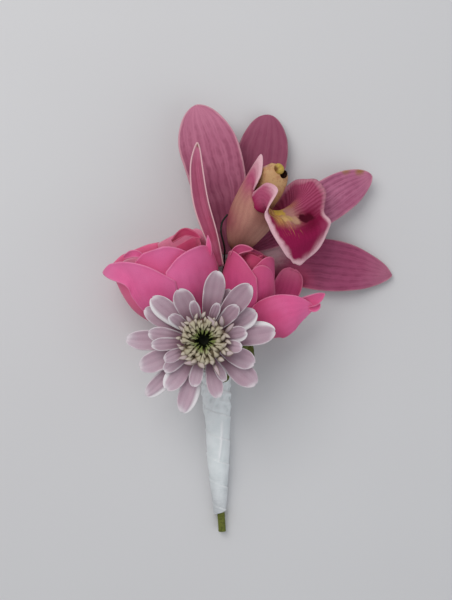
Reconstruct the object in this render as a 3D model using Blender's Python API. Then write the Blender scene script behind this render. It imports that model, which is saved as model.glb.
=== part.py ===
"""Boutonniere: a cymbidium orchid, two spray roses and a spray chrysanthemum on their own stems,
bound with white floral tape. It lies on its back: +Z is up and the stems run down towards -Y.

The flowers are set out in millimetres in a working frame, X across and Y up the bunch. The
finished origin is the middle of the whole bunch, on the surface that it lies on."""

import math

import bmesh
import bpy
from mathutils import Vector

MM = 0.001
BUNCH_CENTRE = Vector((8.718, -7.017, 0.0))  # middle of the bunch in the working frame

TEPAL_THICKNESS = 0.8
LIP_THICKNESS = 0.7
ROSE_PETAL_THICKNESS = 0.5
RAY_THICKNESS = 0.4
WIRE_DIAMETER = 0.6
TAPE_THICKNESS = 0.5

COLOURS = {
    "orchid_petal": ((0.42, 0.13, 0.20), 0.45),
    "orchid_lip": ((0.40, 0.12, 0.17), 0.45),
    "orchid_column": ((0.55, 0.36, 0.14), 0.40),
    "anther_yellow": ((0.55, 0.36, 0.06), 0.40),
    "orchid_stalk": ((0.30, 0.22, 0.08), 0.50),
    "wire_green": ((0.01, 0.015, 0.01), 0.45),
    "rose_petal": ((0.62, 0.11, 0.27), 0.55),
    "rose_green": ((0.10, 0.16, 0.03), 0.55),
    "ray_lilac": ((0.52, 0.36, 0.46), 0.60),
    "disc_cream": ((0.36, 0.33, 0.16), 0.65),
    "stem_green": ((0.10, 0.15, 0.02), 0.55),
    "floral_tape": ((0.60, 0.64, 0.65), 0.40),
}


# ---------------------------------------------------------------- curves and outlines


def along(values, t):
    """Smooth value at t, from 0 to 1, on the curve through evenly spaced values."""
    last = len(values) - 1
    place = min(max(t, 0.0), 1.0) * last
    i = min(int(place), last - 1)
    f = place - i
    here, after = values[i], values[i + 1]
    before = values[i - 1] if i > 0 else here * 2 - after
    beyond = values[i + 2] if i + 2 <= last else after * 2 - here
    return (
        here * 2
        + (after - before) * f
        + (before * 2 - here * 5 + after * 4 - beyond) * f**2
        + (here * 3 - before - after * 3 + beyond) * f**3
    ) * 0.5


def points(*coordinates):
    return [Vector(c) for c in coordinates]


def outline(v, widest, base, tip):
    """Half width at v as a part of the widest: base at v = 0, and rounded off to the tip."""
    if v < widest:
        return base + (1 - base) * math.sin(math.pi / 2 * v / widest)
    return max(1 - ((v - widest) / (1 - widest)) ** 2, 0.0) ** tip


def closer_at_tip(v):
    """Steps along a petal that grow shorter towards its tip, where the outline turns most."""
    return 0.35 * v + 0.65 * math.sin(math.pi / 2 * v)


# ---------------------------------------------------------------- meshes and objects


def material(name):
    """The named Principled material, made once."""
    if name in bpy.data.materials:
        return bpy.data.materials[name]
    colour, roughness = COLOURS[name]
    made = bpy.data.materials.new(name)
    made.use_nodes = True
    shader = made.node_tree.nodes["Principled BSDF"]
    shader.inputs["Base Color"].default_value = (*colour, 1.0)
    shader.inputs["Roughness"].default_value = roughness
    shader.inputs["Metallic"].default_value = 0.0
    return made


def add_object(name, data, finish):
    made = bpy.data.objects.new(name, data)
    data.materials.append(material(finish))
    bpy.context.collection.objects.link(made)
    return made


def to_world(point):
    return (point - BUNCH_CENTRE) * MM


def grid(surface, rows, columns):
    """A bmesh grid laid on surface(v, s): v runs 0 to 1 over the rows, s runs -1 to 1 across."""
    bm = bmesh.new()
    bmesh.ops.create_grid(bm, x_segments=columns, y_segments=rows, size=1.0)
    for vert in bm.verts:
        vert.co = to_world(surface((vert.co.y + 1) / 2, vert.co.x))
    return bm


def finish_mesh(name, bm, finish, smooth_angle=60.0):
    mesh = bpy.data.meshes.new(name)
    bm.to_mesh(mesh)
    bm.free()
    mesh.shade_smooth()
    mesh.set_sharp_from_angle(angle=math.radians(smooth_angle))
    return add_object(name, mesh, finish)


def thin_sheet(name, surface, rows, columns, thickness, finish):
    """A petal: a grid on surface, given its thickness half to each side."""
    petal = finish_mesh(name, grid(surface, rows, columns), finish)
    wall = petal.modifiers.new("thickness", "SOLIDIFY")
    wall.thickness = thickness * MM
    wall.offset = 0.0
    wall.use_even_offset = False
    return petal


def closed_body(name, surface, rows, around, finish, joined_ends=False):
    """A round body: the grid on surface is closed round s, and its ends are capped or joined."""
    bm = grid(surface, rows, around)
    bmesh.ops.remove_doubles(bm, verts=bm.verts, dist=0.00002)
    if not joined_ends:
        open_edges = [edge for edge in bm.edges if edge.is_boundary]
        bmesh.ops.holes_fill(bm, edges=open_edges, sides=0)
    bmesh.ops.recalc_face_normals(bm, faces=bm.faces)
    return finish_mesh(name, bm, finish)


# ---------------------------------------------------------------- petals as surfaces


def blade(midrib, face, half_width, shape, cup=(0.0,), curl=0.0, sides=(1.0, 1.0)):
    """A free petal. The midrib is a list of points, face the ways that its inner side looks, and
    shape the outline's (widest, base, tip). cup lifts the rims towards face, as a part of the
    half width, and curl turns the last of the rim. sides scale the two halves."""
    cups = list(cup) if len(cup) > 1 else [cup[0], cup[0]]
    faces = face if len(face) > 1 else [face[0], face[0]]

    def surface(v, s):
        step = 0.01
        v = closer_at_tip(v)
        centre = along(midrib, v)
        run = (along(midrib, min(v + step, 1.0)) - along(midrib, max(v - step, 0.0))).normalized()
        side = run.cross(along(faces, v)).normalized()
        up = side.cross(run)
        half = max(half_width * outline(v, *shape), 0.25)
        reach = half * sides[0 if s < 0 else 1]
        lift = along(cups, v) * half * s * s + curl * half * abs(s) ** 6
        return centre + side * s * reach + up * lift

    return surface


class Rose:
    """A rose's frame: its petals stand on the hip and close round the axis."""

    def __init__(self, hip, tip, flatten):
        self.hip = Vector(hip)
        self.axis = (Vector(tip) - self.hip).normalized()
        self.near = (Vector((0, 0, 1)) - self.axis * self.axis.z).normalized()
        self.right = self.axis.cross(self.near)
        self.flatten = flatten

    def place(self, height, radius, bearing):
        """The point at a height on the axis, a radius from it, and a bearing: 0 degrees is the
        side away from the surface, 90 the right."""
        turn = math.radians(bearing)
        out = self.near * math.cos(turn) * self.flatten + self.right * math.sin(turn)
        return self.hip + self.axis * height + out * radius


def shell(rose, bearing, profile, half_angles, top, flare=(0.0, 0.0), lean=0.0, level=0.0,
          left=None):
    """A petal that wraps the rose. profile is its (height, radius) curve from base to rim, and
    half_angles its half width, in degrees, from base to rim. top is how far it reaches, from its
    left side to its right, flare how far its rim turns out there, lean how much further out its
    right side lies than its middle, level how far out it lies from its layer, and left the half
    angles of its left side where they differ."""
    profile = [Vector(p) for p in profile]
    half_angles, top, flare = list(half_angles), list(top), list(flare)
    left = list(left or half_angles)

    def surface(v, s):
        across = (s + 1) / 2
        reach = v * along(top, across)
        height, radius = along(profile, reach)
        radius += (lean * s + level) * min(5 * v, 1.0) + along(flare, across) * v**3
        return rose.place(height, radius, bearing + s * along(left if s < 0 else half_angles, v))

    return surface


def net(rows):
    """A petal through a net of points: each row runs across it, and the rows from base to tip."""
    rows = [points(*row) for row in rows]

    def surface(v, s):
        return along([along(row, (s + 1) / 2) for row in rows], v)

    return surface


def tube(route, radius, squash=1.0, across=(1, 0, 0)):
    """A stem along the route's points, with its radius given at even steps. across is roughly
    square to the route, and squash flattens the section the other way."""
    radii = list(radius) if len(radius) > 1 else [radius[0], radius[0]]
    across = Vector(across)

    def surface(v, s):
        step = 0.01
        centre = along(route, v)
        run = (along(route, min(v + step, 1.0)) - along(route, max(v - step, 0.0))).normalized()
        side = (across - run * across.dot(run)).normalized()
        up = side.cross(run)
        turn = math.pi * s
        size = along(radii, v)
        return centre + (side * math.cos(turn) + up * math.sin(turn) * squash) * size

    return surface


# ---------------------------------------------------------------- orchid

ORCHID_TEPALS = {
    "orchid_left_petal": blade(
        points((1.0, 15.2, 7.4), (0.0, 27.7, 8.6), (-3.6, 43.7, 12.0), (-9.8, 64.0, 10.5)),
        face=points((0.3, -0.1, 1), (0.15, 0, 1)),
        half_width=10.0, shape=(0.74, 0.2, 0.6), cup=(0.05, 0.12, 0.1), sides=(1.04, 0.95),
    ),
    "orchid_left_sepal": blade(
        points((-1.5, 11.0, 13.2), (-4.0, 20.8, 15.4), (-7.2, 31.5, 18.0), (-9.0, 42.0, 20.8),
               (-9.0, 49.3, 24.0)),
        face=points((-0.35, -0.1, 1), (-0.25, 0, 1), (0, 0, 1)),
        half_width=2.5, shape=(0.45, 0.4, 0.6), cup=(0.8, 1.4, 1.4, 0.5),
    ),
    "orchid_dorsal_sepal": blade(
        points((3.0, 17.2, 4.6), (7.4, 31.8, 4.2), (12.1, 48.6, 4.2), (14.4, 62.2, 3.5)),
        face=points((0, -0.2, 1), (0, 0, 1)),
        half_width=8.7, shape=(0.6, 0.22, 0.5), cup=(0.1, 0.1, -0.1),
    ),
    "orchid_right_petal": blade(
        points((6.6, 16.2, 5.4), (21.3, 25.0, 6.2), (36.2, 34.6, 7.2), (48.6, 41.8, 5)),
        face=points((0, 0, 1), (0.1, -0.1, 1)),
        half_width=7.0, shape=(0.6, 0.22, 0.6), cup=(0.1, 0.15, -0.1),
    ),
    "orchid_right_sepal": blade(
        points((5.4, 12.4, 3.8), (21.0, 12.5, 3.4), (37.7, 11.2, 5.0), (56.1, 8.4, 1.5)),
        face=points((0, 0, 1), (0, 0.1, 1)),
        half_width=8.7, shape=(0.58, 0.22, 0.72), cup=(0.1, 0.12, -0.1),
    ),
}

# The lip, from its tube to its lobe: each row runs from the near rim under the column to the far.
LIP_NET = (
    ((2.6, 16.6, 7.8), (2.6, 15.9, 9.2), (4.2, 15.7, 10.2), (6.4, 16.0, 9.4), (7.6, 16.8, 7.8),
     (6.8, 17.6, 6.4)),
    ((1.6, 20.5, 10.5), (0.8, 19.8, 14.0), (4.6, 19.0, 17.5), (9.6, 19.0, 16.0), (11.6, 20.9, 11),
     (9.9, 23.0, 8)),
    ((2.3, 28.5, 12.5), (0.9, 25.9, 18), (6.0, 22.6, 24), (13.4, 22.9, 19.5), (16.5, 26.7, 12.5),
     (14.5, 31.3, 9)),
    ((4.8, 35.4, 17), (3.6, 32.4, 21), (7.4, 25.9, 26.8), (15.6, 25.6, 20), (20.3, 30.6, 13),
     (19.6, 37.0, 10)),
    ((10.9, 46.0, 21), (7.6, 38.6, 22), (8.2, 29.2, 27.6), (16.6, 26.9, 20.6), (22.0, 32.4, 14.2),
     (22.3, 39.0, 11.3)),
    ((11.2, 39.8, 23.2), (8.8, 36.0, 23.6), (9.2, 28.5, 27.6), (16.7, 27.2, 21.0), (22.5, 32.7, 14.7),
     (22.9, 39.2, 11.6)),
    ((8.3, 33.6, 25), (8.0, 31.2, 26.4), (10.2, 27.6, 27.6), (16.9, 27.6, 21.4), (23.0, 33.0, 15.4),
     (23.8, 39.4, 12)),
    ((12.6, 36.1, 28), (10.6, 33.0, 28.2), (12.2, 28.9, 27), (17.0, 28.0, 22), (23.8, 33.0, 16.4),
     (26.2, 39.3, 13)),
    ((15.9, 33.6, 30.5), (13.4, 31.0, 29.8), (13.0, 27.6, 27.5), (17.3, 27.4, 22.5),
     (24.6, 32.5, 17.5), (29.6, 38.9, 14)),
    ((12.8, 28.6, 31.5), (12.6, 27.2, 30), (13.8, 26.0, 27), (17.8, 26.3, 24), (25.2, 30.3, 19),
     (32.1, 34.9, 15.5)),
    ((12.1, 25.3, 32), (13.6, 25.0, 30.5), (16.2, 24.4, 28), (20.2, 24.2, 26), (25.9, 26.6, 21),
     (31.7, 30.4, 17.5)),
    ((13.2, 21.8, 31.5), (14.9, 21.6, 31), (17.7, 21.1, 30), (21.5, 20.9, 28.5), (26.9, 23.5, 24),
     (31.2, 27.2, 19.5)),
    ((15.9, 17.3, 30.5), (17.4, 17.4, 30.5), (19.9, 17.4, 30), (23.0, 17.8, 29), (27.6, 20.2, 26),
     (33.2, 24.2, 22)),
    ((18.3, 14.2, 28.5), (19.2, 14.3, 28.8), (20.6, 14.4, 28.8), (22.8, 14.6, 28), (25.7, 15.8, 26.5),
     (29.6, 16.7, 24)),
    ((20.6, 11.8, 26.5), (21.1, 11.5, 26.7), (21.9, 11.2, 26.7), (22.6, 11.0, 26.5),
     (23.6, 10.9, 26.2), (24.9, 11.7, 25.8)),
)

COLUMN_ROUTE = points((5.0, 17.4, 8.6), (7.9, 24.2, 12.9), (11.3, 31.0, 16.4), (14.0, 36.3, 18.9),
                      (15.2, 40.2, 20.2), (15.9, 43.1, 20.6))
COLUMN_RADII = (1.7, 2.8, 4.1, 4.8, 4.4, 1.4)
COLUMN_SQUASH = 0.62
COLUMN_ACROSS = (0.92, -0.39, 0.0)
ANTHER_CENTRE = Vector((17.0, 41.6, 23.8))
ANTHER_RADIUS = 1.4
ORCHID_STALK_ROUTE = points((2.2, 13.2, 6.2), (0.0, 7.0, 3.6), (-2.2, -2.0, 2.3), (-4.2, -14.0, 2.2),
                            (-5.1, -26.0, 2.2), (-4.2, -43.0, 2.2), (-4.1, -54.0, 2.2))
ORCHID_STALK_RADII = (2.2, 1.8, 1.5, 1.3, 1.25, 1.25, 1.25)
WIRE_ROUTE = points((0.5, 27.4, 17.6), (-1.2, 24.9, 17.8), (-1.6, 22.0, 17.4), (-0.9, 18.9, 15.6),
                    (-0.4, 15.6, 12.4), (-1.0, 9.0, 7.4), (-1.9, 1.0, 5.2), (-3.0, -10.0, 4.6),
                    (-3.6, -26.0, 3.75), (-2.6, -44.0, 3.7))


def make_orchid():
    for name, surface in ORCHID_TEPALS.items():
        thin_sheet(name, surface, 10, 6, TEPAL_THICKNESS, "orchid_petal")
    thin_sheet("orchid_lip", net(LIP_NET), 28, 10, LIP_THICKNESS, "orchid_lip")
    column = tube(COLUMN_ROUTE, COLUMN_RADII, COLUMN_SQUASH, COLUMN_ACROSS)
    closed_body("orchid_column", column, 12, 12, "orchid_column")
    bm = bmesh.new()
    bmesh.ops.create_icosphere(bm, subdivisions=2, radius=ANTHER_RADIUS * MM)
    bmesh.ops.translate(bm, verts=bm.verts, vec=to_world(ANTHER_CENTRE))
    finish_mesh("orchid_anther_cap", bm, "anther_yellow")
    stalk = tube(ORCHID_STALK_ROUTE, ORCHID_STALK_RADII)
    closed_body("orchid_stem", stalk, 24, 10, "orchid_stalk")
    closed_body("florist_wire", tube(WIRE_ROUTE, (WIRE_DIAMETER / 2,)), 40, 6, "wire_green")


# ---------------------------------------------------------------- roses

LEFT_ROSE = Rose(hip=(-11.9, -9.9, 10.4), tip=(-20.9, 14.5, 14.9), flatten=0.83)
RIGHT_ROSE = Rose(hip=(5.6, -10.9, 12), tip=(9.3, 16.1, 16.5), flatten=0.9)

# Radius of each layer of petals, by height up the rose from its hip.
LEFT_OUTER = ((0, 3.6), (6, 9.3), (12, 13.7), (18, 15.4), (24, 15.9), (30, 16.2))
LEFT_INNER = ((0, 2.3), (6, 7.4), (12, 11.2), (18, 12.4), (24, 13.0), (30, 13.8))
RIGHT_UNDER = ((0, 4.3), (6, 9.8), (12, 14.0), (18, 16.4), (24, 17.2))
RIGHT_BUD = ((0, 3.1), (5, 6.4), (10, 8.7), (15, 9.1), (20, 8.7), (25, 7.9), (30, 7.0))
RIGHT_BUD_SECOND = ((0, 2.2), (5, 5.6), (10, 7.8), (15, 8.2), (20, 7.8), (25, 7.0), (30, 6.0))
RIGHT_BUD_THIRD = ((0, 1.3), (5, 4.7), (10, 6.9), (15, 7.4), (20, 7.0), (25, 6.2), (30, 5.2))

LEFT_ROSE_PETALS = {
    "rose_left_petal_near_left": shell(
        LEFT_ROSE, -40, LEFT_OUTER, (26, 36, 43, 47), (0.92, 1.00, 0.985, 0.87, 0.62),
        (2.0, 0.2, 0, 0, 0), level=0.6, left=(0, 2, 4, 7, 8, 10, 49)),
    "rose_left_petal_near_right": shell(
        LEFT_ROSE, 38, LEFT_OUTER, (28, 40, 43, 38), (0.74, 0.84, 0.87, 0.85, 0.76), lean=0.5),
    "rose_left_petal_under_right": shell(
        LEFT_ROSE, 140, LEFT_OUTER, (42, 46, 46, 42), (0.86, 0.98, 1.02, 1.0, 0.97), lean=0.5),
    "rose_left_petal_under_left": shell(
        LEFT_ROSE, -118, LEFT_OUTER, (36, 48, 57, 62), (0.98, 1.02, 0.97, 0.88, 0.78), level=-0.5),
    "rose_left_petal_inner_near": shell(
        LEFT_ROSE, -5, LEFT_INNER, (50, 60, 62, 60), (0.75, 0.94, 1.02, 0.93, 0.7), lean=0.6),
    "rose_left_petal_inner_right": shell(
        LEFT_ROSE, 115, LEFT_INNER, (50, 60, 62, 60), (0.7, 0.85, 0.92, 0.9, 0.85), lean=0.6),
    "rose_left_petal_inner_left": shell(
        LEFT_ROSE, -125, LEFT_INNER, (50, 60, 62, 60), (0.85, 0.9, 0.95, 0.92, 0.85), lean=0.6),
}

RIGHT_ROSE_PETALS = {
    "rose_right_petal_near_left": shell(
        RIGHT_ROSE, -56, RIGHT_BUD, (52, 68, 72, 66), (0.72, 0.85, 0.89, 0.83, 0.66), level=0.2),
    "rose_right_petal_near_right": shell(
        RIGHT_ROSE, 30, RIGHT_BUD_SECOND, (28, 46, 48, 44), (0.66, 0.77, 0.79, 0.72, 0.5), lean=0.3),
    "rose_right_petal_right": shell(
        RIGHT_ROSE, 62, RIGHT_BUD_THIRD, (44, 62, 64, 60), (0.75, 0.86, 0.88, 0.84, 0.8), lean=0.6),
    "rose_right_petal_back": shell(
        RIGHT_ROSE, 176, RIGHT_BUD, (34, 38, 46, 46), (0.79, 0.87, 0.89, 0.86, 0.78), level=-0.6),
    "rose_right_petal_under": shell(
        RIGHT_ROSE, 174, RIGHT_UNDER, (28, 28, 28, 26), (0.6, 0.72, 0.75, 0.72, 0.6)),
    "rose_right_petal_far_right": blade(
        points((10.2, -9.2, 8.2), (14.9, -4.2, 5.9), (19.6, 3.0, 6.2), (22.2, 10.6, 9.0)),
        face=points((0.5, -0.4, 1), (0.2, -0.1, 1), (0, -0.1, 1)),
        half_width=4.9, shape=(0.74, 0.3, 0.3), cup=(0.0, 0.05, 0.15)),
    "rose_right_petal_open": blade(
        points((7.0, -12.8, 17.6), (13.5, -7.2, 23.0), (21, -3.9, 23.3), (28.2, -2.0, 17.8)),
        face=points((-0.2, 0.2, -1), (0.2, 0.2, -1)),
        half_width=7.2, shape=(0.38, 0.35, 0.95), cup=(0.3, 0.3, 0.3)),
}

HIP_RADII = (2.6, 3.9, 2.6, 1.3, 1.25, 1.25, 1.25, 1.25, 1.25)
LEFT_STEM_ROUTE = points((-11.7, -10.7, 10.2), (-10.7, -13.2, 9.7), (-9.6, -15.8, 8.8),
                         (-8.2, -18.6, 7.6), (-6.2, -22.0, 6.2), (-5.2, -26.0, 5.4),
                         (-4.8, -34.0, 5.2), (-4.1, -43.0, 5.1), (-3.9, -50.0, 5.0))
RIGHT_STEM_ROUTE = points((5.5, -11.7, 11.9), (5.1, -14.2, 11.3), (4.4, -16.4, 10.0),
                          (3.2, -18.4, 7.8), (0.2, -21.6, 4.4), (-2.0, -26.5, 2.4),
                          (-1.2, -44.0, 2.1), (-1.9, -64.0, 1.95), (-1.55, -78.1, 1.8))

LEFT_HEART = ((0.4, 0), (0.4, 1.0), (6, 5.8), (12, 8.6), (18, 8.8), (21, 6.6), (20, 3.4), (19, 0))
RIGHT_HEART = ((0.4, 0), (0.4, 0.7), (6, 4.2), (13, 5.6), (20, 5.2), (25.5, 3.2), (25, 1.8), (24, 0))


def turned(place, profile):
    """A body turned round an axis, from its (height, radius) profile; place sets its points."""
    profile = [Vector(p) for p in profile]

    def surface(v, s):
        height, radius = along(profile, v)
        return place(height, max(radius, 0.0), 180 * s)

    return surface


def make_roses():
    for name, surface in {**LEFT_ROSE_PETALS, **RIGHT_ROSE_PETALS}.items():
        thin_sheet(name, surface, 7, 7, ROSE_PETAL_THICKNESS, "rose_petal")
    for side, rose, heart, route in (
        ("left", LEFT_ROSE, LEFT_HEART, LEFT_STEM_ROUTE),
        ("right", RIGHT_ROSE, RIGHT_HEART, RIGHT_STEM_ROUTE),
    ):
        closed_body(f"rose_{side}_inner_petals", turned(rose.place, heart), 14, 16, "rose_petal")
        closed_body(f"rose_{side}_stem", tube(route, HIP_RADII), 30, 10, "rose_green")


# ---------------------------------------------------------------- chrysanthemum

MUM_CENTRE = Vector((-6.7, -12.7, 0.0))
RAY_ROW_BASE = 28.0     # height of the lowest row of rays where they leave the cup
RAY_ROW_STEP = 0.8
RAY_ROW_RISE = (1.0, 7.0, 13.0, 21.0, 32.0, 46.0)  # degrees, from the lowest row inwards
RAY_BASE_RADIUS = 4.6

# Each ray: bearing in degrees, reach from the flower's centre, half width, and row.
CHRYSANTHEMUM_RAYS = (
    (79, 21.9, 3.2, 1), (51, 22.2, 3.3, 2), (63, 17.8, 2.6, 0), (30, 18.2, 3.0, 1),
    (8, 22.0, 3.4, 0), (-24, 16.7, 3.0, 1), (-40, 20.7, 3.4, 0), (-76, 17.6, 2.4, 1),
    (-107, 22.9, 2.9, 0), (-128, 18.5, 2.9, 1), (-137, 24.5, 2.5, 0), (-158, 21.1, 3.2, 1),
    (179, 24.0, 3.1, 0), (152, 20.8, 2.7, 0), (140, 20.7, 3.0, 1), (116, 17.5, 3.2, 2),
    (141, 12.7, 1.8, 4), (171, 17.0, 2.4, 2), (-177, 15.6, 2.0, 3), (-156, 12.7, 1.8, 4),
    (-144, 14.9, 2.0, 2), (-103, 13.9, 2.0, 2), (47, 14.9, 2.2, 3), (14, 13.1, 2.2, 3),
    (-8, 11.4, 1.9, 4), (105, 12.7, 1.5, 4), (70, 12.3, 1.4, 4), (-62, 13.5, 1.4, 2),
)


def ray(bearing, reach, half_width, row):
    turn = math.radians(bearing)
    out = Vector((math.cos(turn), math.sin(turn), 0))
    side = Vector((-math.sin(turn), math.cos(turn), 0))
    slope = math.tan(math.radians(RAY_ROW_RISE[row]))
    base_height = RAY_ROW_BASE + RAY_ROW_STEP * row

    def surface(v, s):
        v = closer_at_tip(v)
        radius = RAY_BASE_RADIUS + (reach - RAY_BASE_RADIUS) * v
        half = max(half_width * outline(v, 0.68, 0.3, 0.5), 0.25)
        height = base_height + slope * (radius - RAY_BASE_RADIUS) + 0.25 * half * s * s
        return MUM_CENTRE + out * radius + side * half * s + Vector((0, 0, height))

    return surface


MUM_DISC = ((27.9, 0), (27.9, 4.0), (32.4, 4.05), (34.0, 5.6), (35.4, 7.2), (36.8, 7.2),
            (37.4, 5.2), (36.6, 2.4), (36.0, 0))
MUM_STEM_ROUTE = points((-6.7, -12.7, 27.4), (-6.7, -12.7, 25.8), (-6.7, -12.8, 24.2), (-6.7, -13.2, 22.4),
                        (-6.2, -16.2, 15.5), (-4.4, -20.0, 9.6), (-2.9, -24.4, 6.2), (-1.7, -34.0, 5.2),
                        (-1.2, -49.0, 5.0))
MUM_STEM_RADII = (4.9, 4.9, 3.4, 1.4, 1.25, 1.25, 1.25, 1.25, 1.25)


def mum_place(height, radius, bearing):
    turn = math.radians(bearing)
    return MUM_CENTRE + Vector((math.cos(turn) * radius, math.sin(turn) * radius, height))


def make_chrysanthemum():
    for number, values in enumerate(CHRYSANTHEMUM_RAYS, start=1):
        thin_sheet(f"chrysanthemum_ray_{number:02d}", ray(*values), 6, 2, RAY_THICKNESS, "ray_lilac")
    closed_body("chrysanthemum_inner_florets", turned(mum_place, MUM_DISC), 20, 24, "disc_cream")
    closed_body("chrysanthemum_stem", tube(MUM_STEM_ROUTE, MUM_STEM_RADII), 32, 12, "stem_green")


# ---------------------------------------------------------------- tape

# The wrapped handle from its mouth to its end: middle, half width and height at even steps.
TAPE_MIDDLE = points((-3.7, -24.0, 0), (-3.2, -33.5, 0), (-2.75, -43.0, 0), (-2.65, -52.5, 0),
                     (-2.35, -62.0, 0), (-2.0, -71.5, 0))
TAPE_HALF_WIDTH = (5.0, 4.8, 4.1, 3.75, 3.0, 2.1)
TAPE_HEIGHT = (8.6, 8.0, 7.6, 7.4, 5.6, 4.0)
TAPE_AXIS_HEIGHT = 0.42  # of the height; the rest of the circle below the surface is cut flat
TAPE_STATIONS = 14


def tape_ring(v, s, inset):
    """A point on the tape's section: an oval with a flat back, its wall's inset from outside."""
    turn = math.pi * s
    height = along(TAPE_HEIGHT, v)
    across = math.cos(turn) * (along(TAPE_HALF_WIDTH, v) - inset)
    middle = height * TAPE_AXIS_HEIGHT
    rise = max(middle + math.sin(turn) * (height - middle - inset), inset)
    return along(TAPE_MIDDLE, v) + Vector((across, 0, rise))


def tape_wall(v, s):
    """Down the outside, back up the inside and round the mouth, so that the wall closes."""
    step = round(v * (2 * TAPE_STATIONS + 2))
    if step <= TAPE_STATIONS:
        return tape_ring(step / TAPE_STATIONS, s, 0.0)
    if step <= 2 * TAPE_STATIONS + 1:
        return tape_ring((2 * TAPE_STATIONS + 1 - step) / TAPE_STATIONS, s, TAPE_THICKNESS)
    return tape_ring(0.0, s, 0.0)


def make_tape():
    closed_body("tape_wrap", tape_wall, 2 * TAPE_STATIONS + 2, 20, "floral_tape", joined_ends=True)


def main():
    for old in list(bpy.data.objects):
        bpy.data.objects.remove(old, do_unlink=True)
    make_orchid()
    make_roses()
    make_chrysanthemum()
    make_tape()


main()
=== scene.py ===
# %% [markdown]
# # A buttonhole of four cut flowers
#
# This lesson dresses a CAD model of a buttonhole: a cymbidium orchid, two spray roses and a spray
# chrysanthemum, bound at their stems with white floral tape. The CAD solids say where each petal
# lies and how big it is. Here each of them gets its veins, its rolled rims and its colours.
#
# The first cell loads the CAD model, which is in metres, with +Z up.

# %% Load the CAD frame
import math
import random

import bmesh
import bpy
import numpy as np
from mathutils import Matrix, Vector


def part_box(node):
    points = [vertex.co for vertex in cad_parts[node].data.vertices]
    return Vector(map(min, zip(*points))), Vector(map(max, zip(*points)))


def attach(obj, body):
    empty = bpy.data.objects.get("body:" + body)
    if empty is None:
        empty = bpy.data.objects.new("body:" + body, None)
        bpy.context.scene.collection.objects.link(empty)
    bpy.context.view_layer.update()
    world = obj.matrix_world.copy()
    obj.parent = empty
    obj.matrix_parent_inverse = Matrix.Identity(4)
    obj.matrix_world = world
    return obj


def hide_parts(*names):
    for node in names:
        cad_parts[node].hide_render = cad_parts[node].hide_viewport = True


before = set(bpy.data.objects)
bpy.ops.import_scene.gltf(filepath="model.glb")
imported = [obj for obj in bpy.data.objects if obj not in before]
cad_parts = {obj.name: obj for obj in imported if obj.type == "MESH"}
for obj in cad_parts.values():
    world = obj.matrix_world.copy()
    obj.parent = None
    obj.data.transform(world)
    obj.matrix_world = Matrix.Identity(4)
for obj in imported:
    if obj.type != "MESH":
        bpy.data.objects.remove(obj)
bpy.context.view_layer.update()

# %% [markdown]
# ## The working frame
#
# A florist lays the flowers out round the place where the stems cross, so the shapes below are
# typed in millimetres from there, X across and Y up the bunch. `to_world` takes such a point to
# the CAD frame, whose origin is the middle of the whole bunch. One function does it for every
# piece, so no piece needs a move or a scale of its own.

# %% Millimetres on the work table
MM = 0.001  # in metres
IN_MM = 1000.0  # turns metres into millimetres
UP = Vector((0, 0, 1))
BUNCH_CENTRE = Vector((8.718, -7.017, 0.0))


def to_world(point):
    return (Vector(point) - BUNCH_CENTRE) * MM


def points(*coordinates):
    return [Vector(c) for c in coordinates]


# %% [markdown]
# ## Camera, floor and light
#
# The bunch lies on its back and the camera looks straight down at it from 30 cm. Soft daylight
# comes from a wide lamp above the upper left and from a pale sky, so the shadows stay faint.
# The colours are matched under the plain Standard view, which adds no contrast of its own.

# %% Camera
CAMERA_HEIGHT = 300.0
HALF_VIEW = 0.34  # half the height of the view, over its distance

camera_data = bpy.data.cameras.new("camera")
camera_data.sensor_width = 36.0
camera_data.lens = 18.0 / HALF_VIEW
camera = bpy.data.objects.new("camera", camera_data)
camera.location = to_world((0, 0, CAMERA_HEIGHT))
bpy.context.collection.objects.link(camera)
bpy.context.scene.camera = camera
bpy.context.scene.view_settings.view_transform = "Standard"
print("camera lens in mm:", round(camera_data.lens, 2))

# %% Sky and lamps
sky = bpy.data.worlds.new("pale sky")
sky.use_nodes = True
sky_light = sky.node_tree.nodes["Background"]
sky_light.inputs["Color"].default_value = (0.93, 0.96, 1.0, 1.0)
sky_light.inputs["Strength"].default_value = 0.43
bpy.context.scene.world = sky


def soft_lamp(name, location, size, power, colour):
    """A square lamp in metres that faces the bunch."""
    lamp_data = bpy.data.lights.new(name, "AREA")
    lamp_data.size = size
    lamp_data.energy = power
    lamp_data.color = colour
    lamp = bpy.data.objects.new(name, lamp_data)
    lamp.location = location
    lamp.rotation_euler = (-Vector(location)).to_track_quat("-Z", "Y").to_euler()
    bpy.context.collection.objects.link(lamp)


soft_lamp("window", (-0.22, 0.28, 0.50), 0.45, 1.8, (1.0, 0.98, 0.96))
soft_lamp("room", (0.35, -0.25, 0.45), 0.50, 0.5, (0.93, 0.97, 1.0))

# %% [markdown]
# ## Small helpers for shader nodes
#
# Every finish below is built from nodes. `put` adds one node, and links or sets its inputs by
# name. `blend` mixes two colours by a mask, and `step` and `times` make masks. They keep each
# finish short enough to read. The last three open, close and use a node group.

# %% Node helpers


def feed(tree, socket, value):
    """Links a socket to an input, or sets the input; a colour may be three numbers."""
    if isinstance(value, bpy.types.NodeSocket):
        tree.links.new(value, socket)
    elif socket.type == "RGBA" and len(value) == 3:
        socket.default_value = (*value, 1.0)
    else:
        socket.default_value = value


def put(tree, kind, inputs=None, **settings):
    """A new node: settings are its own properties, inputs are values or sockets to link."""
    made = tree.nodes.new("ShaderNode" + kind)
    for key, value in settings.items():
        setattr(made, key, value)
    for key, value in (inputs or {}).items():
        feed(tree, made.inputs[key], value)
    return made


def maths(tree, operation, first, second=0.0, third=0.0):
    """One step of arithmetic, as a socket."""
    return put(tree, "Math", {0: first, 1: second, 2: third}, operation=operation).outputs[0]


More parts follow.
